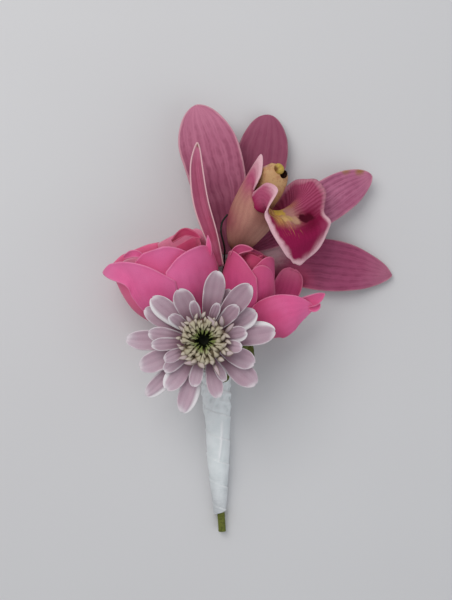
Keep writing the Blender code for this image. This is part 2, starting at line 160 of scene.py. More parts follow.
def times(tree, first, *others):
    """The product of its values."""
    for other in others:
        first = maths(tree, "MULTIPLY", first, other)
    return first


def step(tree, value, low, high, start=0.0, end=1.0):
    """A smooth change from start to end while value goes from low to high."""
    inputs = dict(enumerate((value, low, high, start, end)))
    return put(tree, "MapRange", inputs, interpolation_type="SMOOTHSTEP").outputs["Result"]


def blend(tree, mask, first, second):
    """The colour first where mask is 0, and second where it is 1."""
    return put(tree, "Mix", {0: mask, 6: first, 7: second}, data_type="RGBA").outputs[2]


def noise(tree, place, scale, detail=2.0):
    inputs = {"Vector": place, "Scale": scale, "Detail": detail}
    return put(tree, "TexNoise", inputs).outputs["Fac"]


def open_group(name, inputs):
    """A node group's tree and its inputs by name: each is a number, or None for a vector."""
    tree = bpy.data.node_groups.new(name, "ShaderNodeTree")
    for label, value in inputs.items():
        kind = "NodeSocketVector" if value is None else "NodeSocketFloat"
        socket = tree.interface.new_socket(label, in_out="INPUT", socket_type=kind)
        if value is not None:
            socket.default_value = value
    return tree, tree.nodes.new("NodeGroupInput").outputs


def close_group(tree, **masks):
    """Gives the group its outputs."""
    for label in masks:
        tree.interface.new_socket(label, in_out="OUTPUT", socket_type="NodeSocketFloat")
    result = tree.nodes.new("NodeGroupOutput")
    for label, mask in masks.items():
        tree.links.new(mask, result.inputs[label])
    print("group:", tree.name)


def use_group(tree, name, inputs):
    """Places a group in a material with that material's own values."""
    return put(tree, "Group", inputs, node_tree=bpy.data.node_groups[name]).outputs


# %% [markdown]
# ## Effects that the petals share
#
# A petal's colour is not even. Veins fan from its base to its tip, its rim is thin and pale, and
# pigment lies in soft patches. Each effect is a node group with named inputs, built once, that
# puts out a mask. A material then decides what the mask does: colour, roughness or bump.

# %% Veins that run from base to tip
tree, given = open_group("petal_veins", {
    "Across": 0.5, "Up": 0.5, "Place": None, "Count": 8.0, "Wander": 0.5, "Sharpness": 3.0})
side = maths(tree, "MULTIPLY_ADD", given["Across"], 2.0, -1.0)
turn = times(tree, side, given["Count"], math.pi)
slow = noise(tree, given["Place"], 170.0)
sway = times(tree, maths(tree, "SUBTRACT", slow, 0.5), given["Wander"])
wave = maths(tree, "COSINE", maths(tree, "MULTIPLY_ADD", sway, 6.0, turn))
ridge = maths(tree, "POWER", maths(tree, "MULTIPLY_ADD", wave, 0.5, 0.5), given["Sharpness"])
fade = times(tree, step(tree, given["Up"], 0.0, 0.15, 0.4, 1.0),
             step(tree, given["Up"], 0.55, 0.97, 1.0, 0.15))
streak = noise(tree, given["Place"], 420.0, 3.0)
close_group(tree, Vein=times(tree, ridge, fade), Breaks=step(tree, streak, 0.35, 0.65))

# %% A thin rim of another colour
tree, given = open_group("petal_rim", {
    "Distance": 1.0, "Width": 0.5, "Place": None, "Ragged": 0.3})
worn = maths(tree, "SUBTRACT", noise(tree, given["Place"], 260.0, 3.0), 0.5)
uneven = maths(tree, "MULTIPLY_ADD", worn, times(tree, given["Ragged"], 4.0), 1.0)
width = maths(tree, "MAXIMUM", times(tree, given["Width"], uneven), 0.02)
share = maths(tree, "DIVIDE", given["Distance"], width)
close_group(tree, Rim=step(tree, share, 0.35, 1.3, 1.0, 0.0))

# %% Soft patches of pigment, and the fine cells of the skin
tree, given = open_group("petal_skin", {"Place": None, "Patch Size": 8.0, "Cell Size": 0.35})
patch_scale = maths(tree, "DIVIDE", IN_MM, given["Patch Size"])
cell_scale = maths(tree, "DIVIDE", IN_MM, given["Cell Size"])
pores = put(tree, "TexVoronoi", {"Vector": given["Place"], "Scale": cell_scale})
close_group(tree, Patches=step(tree, noise(tree, given["Place"], patch_scale), 0.36, 0.66),
            Cells=noise(tree, given["Place"], cell_scale), Pores=pores.outputs["Distance"])

# %% A mark at one place, such as a bruise or a dark throat
tree, given = open_group("mark_at", {
    "Place": None, "Centre": None, "Radius": 1.0, "Softness": 0.6})
apart = put(tree, "VectorMath", {0: given["Place"], 1: given["Centre"]}, operation="DISTANCE")
apart = times(tree, apart.outputs["Value"], IN_MM)
fray = maths(tree, "SUBTRACT", noise(tree, given["Place"], 700.0, 3.0), 0.5)
spread = maths(tree, "MULTIPLY_ADD", fray, 0.8, maths(tree, "DIVIDE", apart, given["Radius"]))
inner = maths(tree, "SUBTRACT", 1.0, given["Softness"])
outer = maths(tree, "ADD", 1.0, given["Softness"])
close_group(tree, Mark=step(tree, spread, inner, outer, 1.0, 0.0))

# %% [markdown]
# ## Curves and outlines
#
# Petals are grown from a few typed points. `along` draws a smooth curve through evenly spaced
# values, and `outline` says how wide a petal is at each step. The same few functions shaped the
# CAD solids, so the finely cut petals here lie where the plain ones did.

# %% Curve helpers


def along(values, t):
    """Smooth value at t, from 0 to 1, on the curve through evenly spaced values."""
    last = len(values) - 1
    if last == 0:
        return values[0]
    place = min(max(t, 0.0), 1.0) * last
    i = min(int(place), last - 1)
    f = place - i
    here, after = values[i], values[i + 1]
    before = values[i - 1] if i > 0 else here * 2 - after
    beyond = values[i + 2] if i + 2 <= last else after * 2 - here
    return (
        here * 2
        + (after - before) * f
        + (before * 2 - here * 5 + after * 4 - beyond) * f**2
        + (here * 3 - before - after * 3 + beyond) * f**3
    ) * 0.5


def heading(route, v):
    """The way that the route runs at v."""
    return (along(route, min(v + 0.01, 1.0)) - along(route, max(v - 0.01, 0.0))).normalized()


def compass(bearing):
    """Outwards and sideways, level, at a bearing in degrees."""
    turn = math.radians(bearing)
    out = Vector((math.cos(turn), math.sin(turn), 0))
    return out, Vector((-out.y, out.x, 0))


def outline(v, widest, base, tip):
    """Half width at v as a part of the widest: base at v = 0, and rounded off to the tip."""
    if v < widest:
        return base + (1 - base) * math.sin(math.pi / 2 * v / widest)
    return max(1 - ((v - widest) / (1 - widest)) ** 2, 0.0) ** tip


def closer_at_tip(v):
    """Steps that grow shorter towards the tip, where the outline turns most."""
    return 0.35 * v + 0.65 * math.sin(math.pi / 2 * v)


def ease(low, high, value):
    """0 below low, 1 above high and smooth between; works on numbers and arrays."""
    t = np.clip((value - low) / (high - low), 0.0, 1.0)
    return t * t * (3 - 2 * t)


# %% [markdown]
# ## How a petal is made
#
# A real petal is one thin skin, thinner still at its rim. It could be sculpted, or cut from a
# subdivided plane, but its veins should follow it, so it starts as a grid with a UV map. The grid
# is laid on the petal's surface, and each point also keeps how many millimetres it lies in from
# the rim. `relief` then lifts the skin along its own normals: grooves, ripples and rolled rims
# are real shape, not only bump. Solidify gives the wall its thickness.

# %% Grid, relief and wall
RIM_TAPER = 1.5  # mm in from the rim where a wall reaches its full thickness
JOIN_WITHIN = 0.00001  # metres


def from_rim(places):
    """Millimetres in from the rim, at each point of a grid. The base is no rim."""
    wide = np.linalg.norm(np.diff(places, axis=1), axis=2)
    tall = np.linalg.norm(np.diff(places, axis=0), axis=2)
    from_left = np.pad(np.cumsum(wide, axis=1), ((0, 0), (1, 0)))
    from_base = np.pad(np.cumsum(tall, axis=0), ((1, 0), (0, 0)))
    from_right = from_left[:, [-1]] - from_left
    from_tip = from_base[[-1]] - from_base
    return np.minimum(np.minimum(from_left, from_right), from_tip)


def skin_normals(places):
    """Unit normals of a grid, on the side that its petal shows."""
    normals = np.cross(np.gradient(places, axis=1), np.gradient(places, axis=0))
    return normals / np.maximum(np.linalg.norm(normals, axis=2, keepdims=True), 1e-9)


def blank_petals():
    """An empty bmesh with the layers that every petal fills in."""
    bm = bmesh.new()
    bm.loops.layers.uv.new("petal_uv")
    for name in ("rim_mm", "tone", "pale"):
        bm.verts.layers.float.new(name)
    bm.verts.layers.deform.verify()
    return bm


def add_petal(bm, surface, rows, columns, relief=None, tone=0.0, pale=None):
    """Adds a grid on surface(v, s): v runs 0 to 1 from base to tip, s runs -1 to 1 across. tone
    darkens it towards its base colour, and pale(v, s) whitens it towards its rim colour. The
    pieces use both for painted shade and painted highlights as well as for their own tints."""
    ups = np.linspace(0, 1, rows + 1)
    sides = np.linspace(-1, 1, columns + 1)
    places = np.array([[surface(v, s) for s in sides] for v in ups])
    rim = from_rim(places)
    side_at, up_at = np.meshgrid(sides, ups)
    stored = {
        "rim_mm": rim,
        "tone": tone(up_at, side_at) if callable(tone) else tone + 0 * up_at,
        "pale": pale(up_at, side_at) if pale else 0 * up_at,
    }
    if relief:
        places = places + skin_normals(places) * relief(up_at, side_at, rim)[..., None]
    laid = bmesh.ops.create_grid(
        bm, x_segments=columns, y_segments=rows, size=1.0, calc_uvs=True)["verts"]
    layers = [(bm.verts.layers.float[name], values) for name, values in stored.items()]
    walls = bm.verts.layers.deform.verify()
    for vert in laid:
        at = round((vert.co.y + 1) / 2 * rows), round((vert.co.x + 1) / 2 * columns)
        for layer, values in layers:
            vert[layer] = values[at]
        vert[walls][0] = min(rim[at] / RIM_TAPER, 1.0)
        vert.co = to_world(places[at])
    return laid


def petal_mesh(surface, rows, columns, relief=None, tone=0.0, pale=None):
    bm = blank_petals()
    add_petal(bm, surface, rows, columns, relief, tone, pale)
    return bm


def add_round(bm, surface, rows, around, relief=None, tone=0.0, ends="fill", pale=None):
    """Adds a round body: the grid closes round s, and its ends are filled or already joined."""
    laid = add_petal(bm, surface, rows, around, relief, tone, pale)
    faces = list({face for vert in laid for face in vert.link_faces})
    bmesh.ops.remove_doubles(bm, verts=laid, dist=JOIN_WITHIN)
    faces = [face for face in faces if face.is_valid]
    if ends == "fill":
        rims = [e for e in {e for face in faces for e in face.edges} if e.is_boundary]
        faces += bmesh.ops.holes_fill(bm, edges=rims, sides=0)["faces"]
    bmesh.ops.recalc_face_normals(bm, faces=faces)


def put_in_scene(name, bm, finishes, smooth_angle=60.0):
    """The finished mesh as an object at the origin, with its materials."""
    mesh = bpy.data.meshes.new(name)
    bm.to_mesh(mesh)
    bm.free()
    mesh.shade_smooth()
    mesh.set_sharp_from_angle(angle=math.radians(smooth_angle))
    for finish in finishes:
        mesh.materials.append(finish)
    made = bpy.data.objects.new(name, mesh)
    bpy.context.collection.objects.link(made)
    return made


def dress(node, bm, finishes, wall_mm=0.0, rim_part=0.45, smooth_angle=60.0):
    """A finished piece that shows in place of a plain CAD solid and is held by the bunch. Its
    wall lies half to each side, and is rim_part as thick at the rim. A second finish is for the
    inner side."""
    piece = put_in_scene(node + "_fine", bm, finishes, smooth_angle)
    if wall_mm:
        piece.vertex_groups.new(name="wall")
        wall = piece.modifiers.new("wall", "SOLIDIFY")
        wall.thickness = wall_mm * MM
        wall.offset = 0.0
        wall.use_even_offset = False
        wall.vertex_group = "wall"
        wall.thickness_vertex_group = rim_part
        wall.material_offset = len(finishes) - 1
    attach(piece, "root")
    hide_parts(node)
    low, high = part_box(node)
    size = [round(side * 1000, 1) for side in high - low]
    print(f"{piece.name}: {len(piece.data.polygons)} faces for a solid of {size} mm")
    return piece


# %% [markdown]
# ## Petal surfaces
#
# `blade` is a free petal on a curved midrib. `Rose` and `shell` wrap a petal round a rose's axis,
# and `net` is a petal through a typed net of points, for the orchid's folded lip.

# %% Blade, shell and net
LEAST_HALF_WIDTH = 0.25  # so that a tip is never a bare point


def blade(midrib, face, half_width, shape, cup=(0.0,), sides=(1.0, 1.0)):
    """face is the way that the inner side looks, shape the outline's (widest, base, tip), cup
    lifts the rims towards face as a part of the half width, and sides scale the two halves."""
    midrib, face = points(*midrib), points(*face)

    def surface(v, s):
        v = closer_at_tip(v)
        side = heading(midrib, v).cross(along(face, v)).normalized()
        up = side.cross(heading(midrib, v))
        half = max(half_width * outline(v, *shape), LEAST_HALF_WIDTH)
        across = side * s * half * sides[0 if s < 0 else 1]
        return along(midrib, v) + across + up * along(cup, v) * half * s * s

    return surface


class Rose:
    """A rose's frame: its petals stand on the hip and close round the axis."""

    def __init__(self, hip, tip, flatten):
        self.hip = Vector(hip)
        self.axis = (Vector(tip) - self.hip).normalized()
        self.near = (UP - self.axis * self.axis.z).normalized()
        self.right = self.axis.cross(self.near)
        self.flatten = flatten

    def place(self, height, radius, bearing):
        """0 degrees is the side away from the table, 90 the right."""
        turn = math.radians(bearing)
        out = self.near * math.cos(turn) * self.flatten + self.right * math.sin(turn)
        return self.hip + self.axis * height + out * radius


def shell(rose, bearing, profile, half_angles, top, flare=(0.0,), lean=0.0, level=0.0, left=None):
    """A petal that wraps the rose on a (height, radius) profile. top is how far it reaches from
    its left side to its right, flare how far its rim turns out there, lean how much further out
    its right side lies, level how far out it lies from its layer, and left the half angles of
    its left side where they differ."""
    profile = points(*profile)

    def surface(v, s):
        across = (s + 1) / 2
        height, radius = along(profile, v * along(top, across))
        radius += (lean * s + level) * min(5 * v, 1.0) + along(flare, across) * v**3
        angles = left if left and s < 0 else half_angles
        return rose.place(height, radius, bearing + s * along(angles, v))

    return surface


def net(rows):
    """A petal through a net of points: each row runs across it, and the rows from base to tip."""
    rows = [points(*row) for row in rows]

    def surface(v, s):
        return along([along(row, (s + 1) / 2) for row in rows], v)

    return surface


# %% [markdown]
# ## The petal finish
#
# `Finish` holds a material while colours are laid over each other in it. Every finish starts
# and closes in the same way, and differs in what is laid between. All three flowers have one
# kind of skin, so one function builds it: a colour that changes from base to tip, patches,
# veins, and a pale rim. Petals are matt with a little wax or velvet, so the roughness is high
# and varies with the cells.

# %% Petal finish


class Finish:
    """A material under way: places on its piece, and the colour that it has so far."""

    def __init__(self, name, colour, patch_size, cell_size=0.35):
        self.made = bpy.data.materials.new(name)
        self.made.use_nodes = True
        self.tree = self.made.node_tree
        self.colour = colour
        self.place = put(self.tree, "TexCoord").outputs["Object"]
        uv = put(self.tree, "UVMap", uv_map="petal_uv").outputs["UV"]
        flat = put(self.tree, "SeparateXYZ", {"Vector": uv}).outputs
        self.across, self.up = flat["X"], flat["Y"]
        self.skin = self.group("petal_skin", {"Patch Size": patch_size, "Cell Size": cell_size})

    def group(self, name, inputs):
        return use_group(self.tree, name, {"Place": self.place, **inputs})

    def stored(self, name, output="Fac"):
        """What the mesh stores at each point under this name."""
        return put(self.tree, "Attribute", attribute_name=name).outputs[output]

    def veins(self, across, up, count, wander, sharpness):
        return self.group("petal_veins", {
            "Across": across, "Up": up, "Count": count, "Wander": wander, "Sharpness": sharpness})

    def rim(self, width, ragged):
        return self.group("petal_rim", {
            "Distance": self.stored("rim_mm"), "Width": width, "Ragged": ragged})["Rim"]

    def mark(self, centre, radius, softness):
        return self.group("mark_at", {
            "Centre": to_world(centre), "Radius": radius, "Softness": softness})["Mark"]

    def lay(self, mask, colour):
        """Blends a colour over the one so far."""
        self.colour = blend(self.tree, mask, self.colour, colour)

    def lay_marks(self, marks):
        for centre, radius, softness, colour in marks:
            self.lay(self.mark(centre, radius, softness), colour)

    def close(self, roughness, bump, gloss, speckle=0.3, grain=None, sheen=0.0):
        """bump: (height, strength, distance in metres). speckle is how much the colour varies
        from cell to cell, and grain varies the roughness if the cells don't."""
        cells = self.skin["Cells"]
        if speckle:
            varied = maths(self.tree, "MULTIPLY_ADD", cells, speckle, 1 - speckle / 2)
            self.colour = put(self.tree, "VectorMath", {0: self.colour, "Scale": varied},
                              operation="SCALE").outputs["Vector"]
        bumps = put(self.tree, "Bump", dict(zip(("Height", "Strength", "Distance"), bump)))
        shader = self.tree.nodes["Principled BSDF"]
        for label, value in {
                "Base Color": self.colour,
                "Roughness": step(self.tree, grain or cells, 0.3, 0.7, *roughness),
                "Normal": bumps.outputs["Normal"], "Specular IOR Level": gloss,
                "Sheen Weight": sheen, "Sheen Roughness": 0.6}.items():
            feed(self.tree, shader.inputs[label], value)
        print("finish:", self.made.name)
        return self.made


def petal_finish(name, colours, veins, rim, patch_size, sheen, roughness=(0.42, 0.6), marks=(),
                 wander=0.5, relief=1.0, ragged=0.3, fine_veins=0.0):
    """colours: base, body, tip, patch, vein and rim. veins: how many across, how strong, how
    sharp. rim: its width in mm and strength. marks: (centre, radius, softness, colour) in mm.
    fine_veins is the strength of the thinner veins between the main ones."""
    base, body, tip, patch, vein, rim_colour = colours
    count, strength, sharpness = veins
    finish = Finish(name, base, patch_size)
    tree, across, up = finish.tree, finish.across, finish.up
    finish.lay(step(tree, up, 0.0, 0.5), body)
    finish.lay(step(tree, up, 0.55, 1.0), tip)
    finish.lay(times(tree, finish.skin["Patches"], 0.6), patch)
    lines = finish.veins(across, up, count, wander, sharpness)
    streaks = times(tree, lines["Vein"], maths(tree, "MULTIPLY_ADD", lines["Breaks"], 0.4, 0.6))
    finish.lay(times(tree, streaks, strength), vein)
    if fine_veins:
        thin = finish.veins(across, up, 2.7 * count, 2 * wander, 1.2)
        finish.lay(times(tree, thin["Vein"], thin["Breaks"], fine_veins), vein)
    # Stored tone is painted shade towards the base colour. Stored pale lays the rim colour: painted
    # highlights where rays fold up, and paler tips and tops.
    finish.lay(finish.stored("tone"), base)
    finish.lay_marks(marks)
    edge = times(tree, finish.rim(rim[0], ragged), rim[1])
    finish.lay(maths(tree, "MAXIMUM", edge, finish.stored("pale")), rim_colour)
    pores = times(tree, finish.skin["Pores"], 0.35)
    height = maths(tree, "MULTIPLY_ADD", lines["Vein"], -0.5, pores)
    return finish.close(roughness, (height, 0.35 * relief, 0.00015), 0.2, 0.16, sheen=sheen)


# %% [markdown]
# ## The orchid's sepals and petals
#
# A cymbidium has three sepals and two petals that look alike: waxy, dusky pink, darker at the
# base, with about eight veins that run to the tip and a thin pale rim. One sepal here has rolled
# up lengthways and stands on its edge in front of the left petal.

# %% Orchid finishes
orchid_left = petal_finish(
    "orchid left petal",
    ((0.25, 0.03, 0.08), (0.44, 0.12, 0.21), (0.62, 0.22, 0.34), (0.54, 0.18, 0.28),
     (0.26, 0.045, 0.105), (0.74, 0.40, 0.46)),
    veins=(7.0, 0.6, 2.4), rim=(0.5, 0.6), patch_size=11.0, sheen=0.05, wander=1.1, ragged=0.6,
    fine_veins=0.4)
# Painted shade: the back sepal lies lowest, under the others, and its colours are darker for it.
orchid_back_shaded = petal_finish(
    "orchid back sepal",
    ((0.19, 0.022, 0.06), (0.29, 0.06, 0.12), (0.36, 0.09, 0.165), (0.30, 0.07, 0.13),
     (0.20, 0.028, 0.075), (0.58, 0.30, 0.35)),
    veins=(6.0, 0.4, 1.8), rim=(0.4, 0.4), patch_size=12.0, sheen=0.05, wander=1.0, ragged=0.6,
    fine_veins=0.35)
orchid_right = petal_finish(
    "orchid right petal",
    ((0.26, 0.04, 0.10), (0.52, 0.17, 0.29), (0.54, 0.18, 0.29), (0.40, 0.10, 0.20),
     (0.25, 0.04, 0.11), (0.70, 0.38, 0.42)),
    veins=(7.0, 0.5, 2.2), rim=(0.35, 0.45), patch_size=8.0, sheen=0.05, wander=1.0, ragged=0.6,
    fine_veins=0.45,
    marks=(((39.6, 43.4, 7.0), 1.5, 0.6, (0.34, 0.16, 0.07)),
           ((44.5, 43.2, 6.0), 1.5, 0.6, (0.34, 0.16, 0.07))))
orchid_lower = petal_finish(
    "orchid right sepal",
    ((0.26, 0.04, 0.10), (0.40, 0.075, 0.175), (0.46, 0.15, 0.24), (0.34, 0.06, 0.14),
     (0.22, 0.03, 0.085), (0.66, 0.34, 0.38)),
    veins=(7.0, 0.5, 2.2), rim=(0.35, 0.45), patch_size=9.0, sheen=0.05, wander=1.0, ragged=0.6,
    fine_veins=0.45,
    marks=(((15.0, 16.0, 4.0), 4.5, 0.8, (0.62, 0.38, 0.42)),
           ((23.5, 5.8, 4.0), 4.5, 0.8, (0.52, 0.07, 0.17))))
orchid_rolled = petal_finish(
    "orchid rolled sepal",
    ((0.48, 0.07, 0.16), (0.54, 0.14, 0.25), (0.58, 0.17, 0.28), (0.60, 0.18, 0.30),
     (0.38, 0.08, 0.16), (0.86, 0.55, 0.58)),
    veins=(5.0, 0.4, 1.6), rim=(0.42, 0.85), patch_size=6.0, sheen=0.05,
    marks=(((-8.4, 48.6, 24.0), 0.9, 0.6, (0.20, 0.08, 0.03)),))

# %% Orchid sepals and petals
TEPAL_WALL = 0.7


def tepal_relief(veins, ripple=0.0, rim_curl=0.0, groove=0.14):
    """Grooves along the veins, a rippled rim, and the last millimetre of the rim turned up."""

    def relief(v, s, rim):
        furrow = (0.5 + 0.5 * np.cos(math.pi * veins * s)) ** 2 * np.sin(math.pi * v) ** 0.5
        wave = ripple * np.abs(s) ** 3 * np.sin(6 * math.pi * v + 2.5 * s)
        turned_up = rim_curl * (1 - ease(0.0, 1.6, rim)) * np.sin(math.pi * np.clip(v, 0, 1)) ** 0.5
        return wave + turned_up - groove * furrow

    return relief


ORCHID_TEPALS = {
    "orchid_left_petal": (blade(
        ((1.0, 15.2, 7.4), (0.0, 27.7, 8.6), (-3.6, 43.7, 12.0), (-9.8, 64.0, 10.5)),
        face=((0.3, -0.1, 1), (0.15, 0, 1)),
        half_width=10.0, shape=(0.74, 0.2, 0.6), cup=(0.05, 0.12, 0.1), sides=(1.04, 0.95)),
        orchid_left, tepal_relief(9.0, ripple=0.35, rim_curl=0.5)),
    "orchid_left_sepal": (blade(
        ((-1.5, 11.0, 13.2), (-4.0, 20.8, 15.4), (-7.2, 31.5, 18.0), (-9.0, 42.0, 20.8),
         (-9.0, 49.3, 24.0)),
        face=((-0.35, -0.1, 1), (-0.25, 0, 1), (0, 0, 1)),
        half_width=2.5, shape=(0.45, 0.4, 0.6), cup=(0.8, 1.4, 1.4, 0.5)),
        orchid_rolled, tepal_relief(5.0, groove=0.04)),
    "orchid_dorsal_sepal": (blade(
        ((3.0, 17.2, 4.6), (7.4, 31.8, 4.2), (12.1, 48.6, 4.2), (14.4, 62.2, 3.5)),
        face=((0, -0.2, 1), (0, 0, 1)),
        half_width=8.7, shape=(0.6, 0.22, 0.5), cup=(0.1, 0.1, -0.1)),
        orchid_back_shaded, tepal_relief(6.0, ripple=0.2, rim_curl=0.2, groove=0.08)),
    "orchid_right_petal": (blade(
        ((6.6, 16.2, 5.4), (21.3, 25.0, 6.2), (36.2, 34.6, 7.2), (48.6, 41.8, 5)),
        face=((0, 0, 1), (0.1, -0.1, 1)),
        half_width=7.0, shape=(0.6, 0.22, 0.6), cup=(0.1, 0.15, -0.1)),
        orchid_right, tepal_relief(8.0, ripple=0.25, rim_curl=0.35)),
    "orchid_right_sepal": (blade(
        ((5.4, 12.4, 3.8), (21.0, 12.5, 3.4), (37.7, 11.2, 5.0), (56.1, 8.4, 1.5)),
        face=((0, 0, 1), (0, 0.1, 1)),
        half_width=8.7, shape=(0.58, 0.22, 0.72), cup=(0.1, 0.12, -0.1)),
        orchid_lower, tepal_relief(8.0, ripple=0.3, rim_curl=0.25)),
}

for node, (surface, finish, relief) in ORCHID_TEPALS.items():
    dress(node, petal_mesh(surface, 64, 36, relief), [finish], TEPAL_WALL)

# %% [markdown]
# ## The orchid's lip
#
# The lip is one folded petal. Its base wraps the column as a cream tube, a side lobe stands up
# beside the column, and the middle lobe spreads forward, deep magenta with a white margin and a
# yellow, ridged callus. It is laid on a typed net of points. Its colours change in every
# direction, so the net carries a colour for each of its points too, one set for each side.

# %% Lip net and its colours
LIP_NET = (
    ((2.6, 16.6, 7.8), (2.6, 15.9, 9.2), (4.2, 15.7, 10.2), (6.4, 16.0, 9.4), (7.6, 16.8, 7.8),
     (6.8, 17.6, 6.4)),
    ((1.6, 20.5, 10.5), (0.8, 19.8, 14.0), (4.6, 19.0, 17.5), (9.6, 19.0, 16.0), (11.6, 20.9, 11),
     (9.9, 23.0, 8)),
    ((2.3, 28.5, 12.5), (0.9, 25.9, 18), (6.0, 22.6, 24), (13.4, 22.9, 19.5), (16.5, 26.7, 12.5),
     (14.5, 31.3, 9)),
    ((4.8, 35.4, 17), (3.6, 32.4, 21), (7.4, 25.9, 26.8), (15.6, 25.6, 20), (20.3, 30.6, 13),
     (19.6, 37.0, 10)),
    ((10.9, 46.0, 21), (7.6, 38.6, 22), (8.2, 29.2, 27.6), (16.6, 26.9, 20.6), (22.0, 32.4, 14.2),
     (22.3, 39.0, 11.3)),
    ((11.2, 39.8, 23.2), (8.8, 36.0, 23.6), (9.2, 28.5, 27.6), (16.7, 27.2, 21.0),
     (22.5, 32.7, 14.7), (22.9, 39.2, 11.6)),
    ((8.3, 33.6, 25), (8.0, 31.2, 26.4), (10.2, 27.6, 27.6), (16.9, 27.6, 21.4), (23.0, 33.0, 15.4),
     (23.8, 39.4, 12)),
    ((12.6, 36.1, 28), (10.6, 33.0, 28.2), (12.2, 28.9, 27), (17.0, 28.0, 22), (23.8, 33.0, 16.4),
     (26.2, 39.3, 13)),
    ((15.9, 33.6, 30.5), (13.4, 31.0, 29.8), (13.0, 27.6, 27.5), (17.3, 27.4, 22.5),
     (24.6, 32.5, 17.5), (29.6, 38.9, 14)),
    ((12.8, 28.6, 31.5), (12.6, 27.2, 30), (13.8, 26.0, 27), (17.8, 26.3, 24), (25.2, 30.3, 19),
     (32.1, 34.9, 15.5)),
    ((12.1, 25.3, 32), (13.6, 25.0, 30.5), (16.2, 24.4, 28), (20.2, 24.2, 26), (25.9, 26.6, 21),
     (31.7, 30.4, 17.5)),
    ((13.2, 21.8, 31.5), (14.9, 21.6, 31), (17.7, 21.1, 30), (21.5, 20.9, 28.5), (26.9, 23.5, 24),
     (31.2, 27.2, 19.5)),
    ((15.9, 17.3, 30.5), (17.4, 17.4, 30.5), (19.9, 17.4, 30), (23.0, 17.8, 29), (27.6, 20.2, 26),
     (33.2, 24.2, 22)),
    ((18.3, 14.2, 28.5), (19.2, 14.3, 28.8), (20.6, 14.4, 28.8), (22.8, 14.6, 28),
     (25.7, 15.8, 26.5), (29.4, 16.9, 24)),
    ((20.4, 11.9, 26.5), (20.8, 11.4, 26.7), (21.5, 11.2, 26.7), (22.2, 10.9, 26.5),
     (23.0, 10.8, 26.2), (24.0, 11.6, 25.8)),
)
CREAM = (0.48, 0.23, 0.18)
PEACH = (0.66, 0.38, 0.29)
BROWN = (0.28, 0.11, 0.05)
BLUSH = (0.34, 0.09, 0.11)
FOLD = (0.43, 0.085, 0.17)
ROSY = (0.40, 0.07, 0.15)
WHITE = (0.80, 0.48, 0.54)
DEEP = (0.16, 0.004, 0.03)
WINE = (0.28, 0.012, 0.068)
GOLD = (0.52, 0.29, 0.09)
LIP_OUTSIDE = (
    (BLUSH, BROWN, BROWN, BROWN, BROWN, BROWN),
    (BLUSH, CREAM, CREAM, PEACH, PEACH, CREAM),
    (BLUSH, BLUSH, CREAM, PEACH, PEACH, CREAM),
    (BLUSH, CREAM, CREAM, CREAM, CREAM, BLUSH),
    (WHITE, FOLD, CREAM, CREAM, BLUSH, BLUSH),
    (WHITE, FOLD, BLUSH, CREAM, BLUSH, BLUSH),
    (FOLD, WINE, WINE, BLUSH, BLUSH, FOLD),
    (FOLD, FOLD, FOLD, FOLD, FOLD, FOLD),
    (WHITE, FOLD, FOLD, FOLD, FOLD, WHITE),
    (WHITE, WHITE, FOLD, FOLD, FOLD, WHITE),
    (WHITE, WHITE, FOLD, FOLD, FOLD, WHITE),
    (WHITE, FOLD, FOLD, FOLD, FOLD, WHITE),
    (WHITE, FOLD, FOLD, FOLD, FOLD, WHITE),
    (WHITE, FOLD, FOLD, FOLD, FOLD, WHITE),
    (WHITE, WHITE, WHITE, WHITE, WHITE, WHITE),
)
LIP_INSIDE = (
    (BLUSH, WINE, WINE, WINE, WINE, BLUSH),
    (BLUSH, WINE, WINE, WINE, WINE, BLUSH),
    (BLUSH, WINE, CREAM, CREAM, WINE, BLUSH),
    (BLUSH, WINE, CREAM, CREAM, ROSY, FOLD),
    (WHITE, FOLD, CREAM, CREAM, ROSY, FOLD),
    (WHITE, FOLD, CREAM, GOLD, ROSY, FOLD),
    (WHITE, WINE, CREAM, GOLD, ROSY, FOLD),
    (WHITE, WINE, GOLD, GOLD, ROSY, FOLD),
    (WHITE, WINE, GOLD, GOLD, ROSY, FOLD),
    (WHITE, WINE, GOLD, CREAM, ROSY, ROSY),
    (WHITE, WINE, GOLD, CREAM, DEEP, ROSY),
    (WHITE, WINE, WINE, WINE, DEEP, WINE),
    (WHITE, WINE, WINE, WINE, WINE, ROSY),
    (WHITE, WINE, WINE, WINE, WINE, WHITE),
    (WHITE, WHITE, WINE, WINE, WHITE, WHITE),
)
# Marks inside the lip: the yellow ridge, its pale end, and the dark patch beside it.
LIP_MARKS = (
    ((19.0, 27.6, 23.0), 2.6, 0.6, (0.48, 0.22, 0.20)),
    ((21.0, 24.6, 25.0), 2.0, 0.3, (0.52, 0.29, 0.19)),
    ((18.8, 25.0, 25.6), 2.0, 0.3, (0.58, 0.36, 0.15)),
    ((16.6, 27.4, 24.0), 2.1, 0.2, (0.66, 0.42, 0.08)),
    ((16.9, 29.4, 22.0), 1.5, 0.4, (0.58, 0.33, 0.10)),
    ((24.3, 25.3, 22.8), 1.9, 0.2, (0.07, 0.002, 0.012)),
    ((26.2, 25.9, 21.4), 1.7, 0.4, (0.08, 0.002, 0.014)),
)


def between(colours, t):
    """The colour at t, from 0 to 1, mixed from the two nearest of evenly spaced colours."""
    place = min(max(t, 0.0), 1.0) * (len(colours) - 1)
    i = min(int(place), len(colours) - 2)
    return colours[i].lerp(colours[i + 1], float(ease(0.0, 1.0, place - i)))


def colour_net(mesh, rows, name):
    """Stores the net's colours on the mesh's points, by their place on its UV map."""
    rows = [points(*row) for row in rows]
    layer = mesh.attributes.new(name, "FLOAT_COLOR", "POINT")
    flat = mesh.uv_layers["petal_uv"].data
    for loop, uv in zip(mesh.loops, flat):
        u, v = uv.uv
        colour = between([between(row, u) for row in rows], v)
        layer.data[loop.vertex_index].color = (*colour, 1.0)


# %% Lip finish and lip


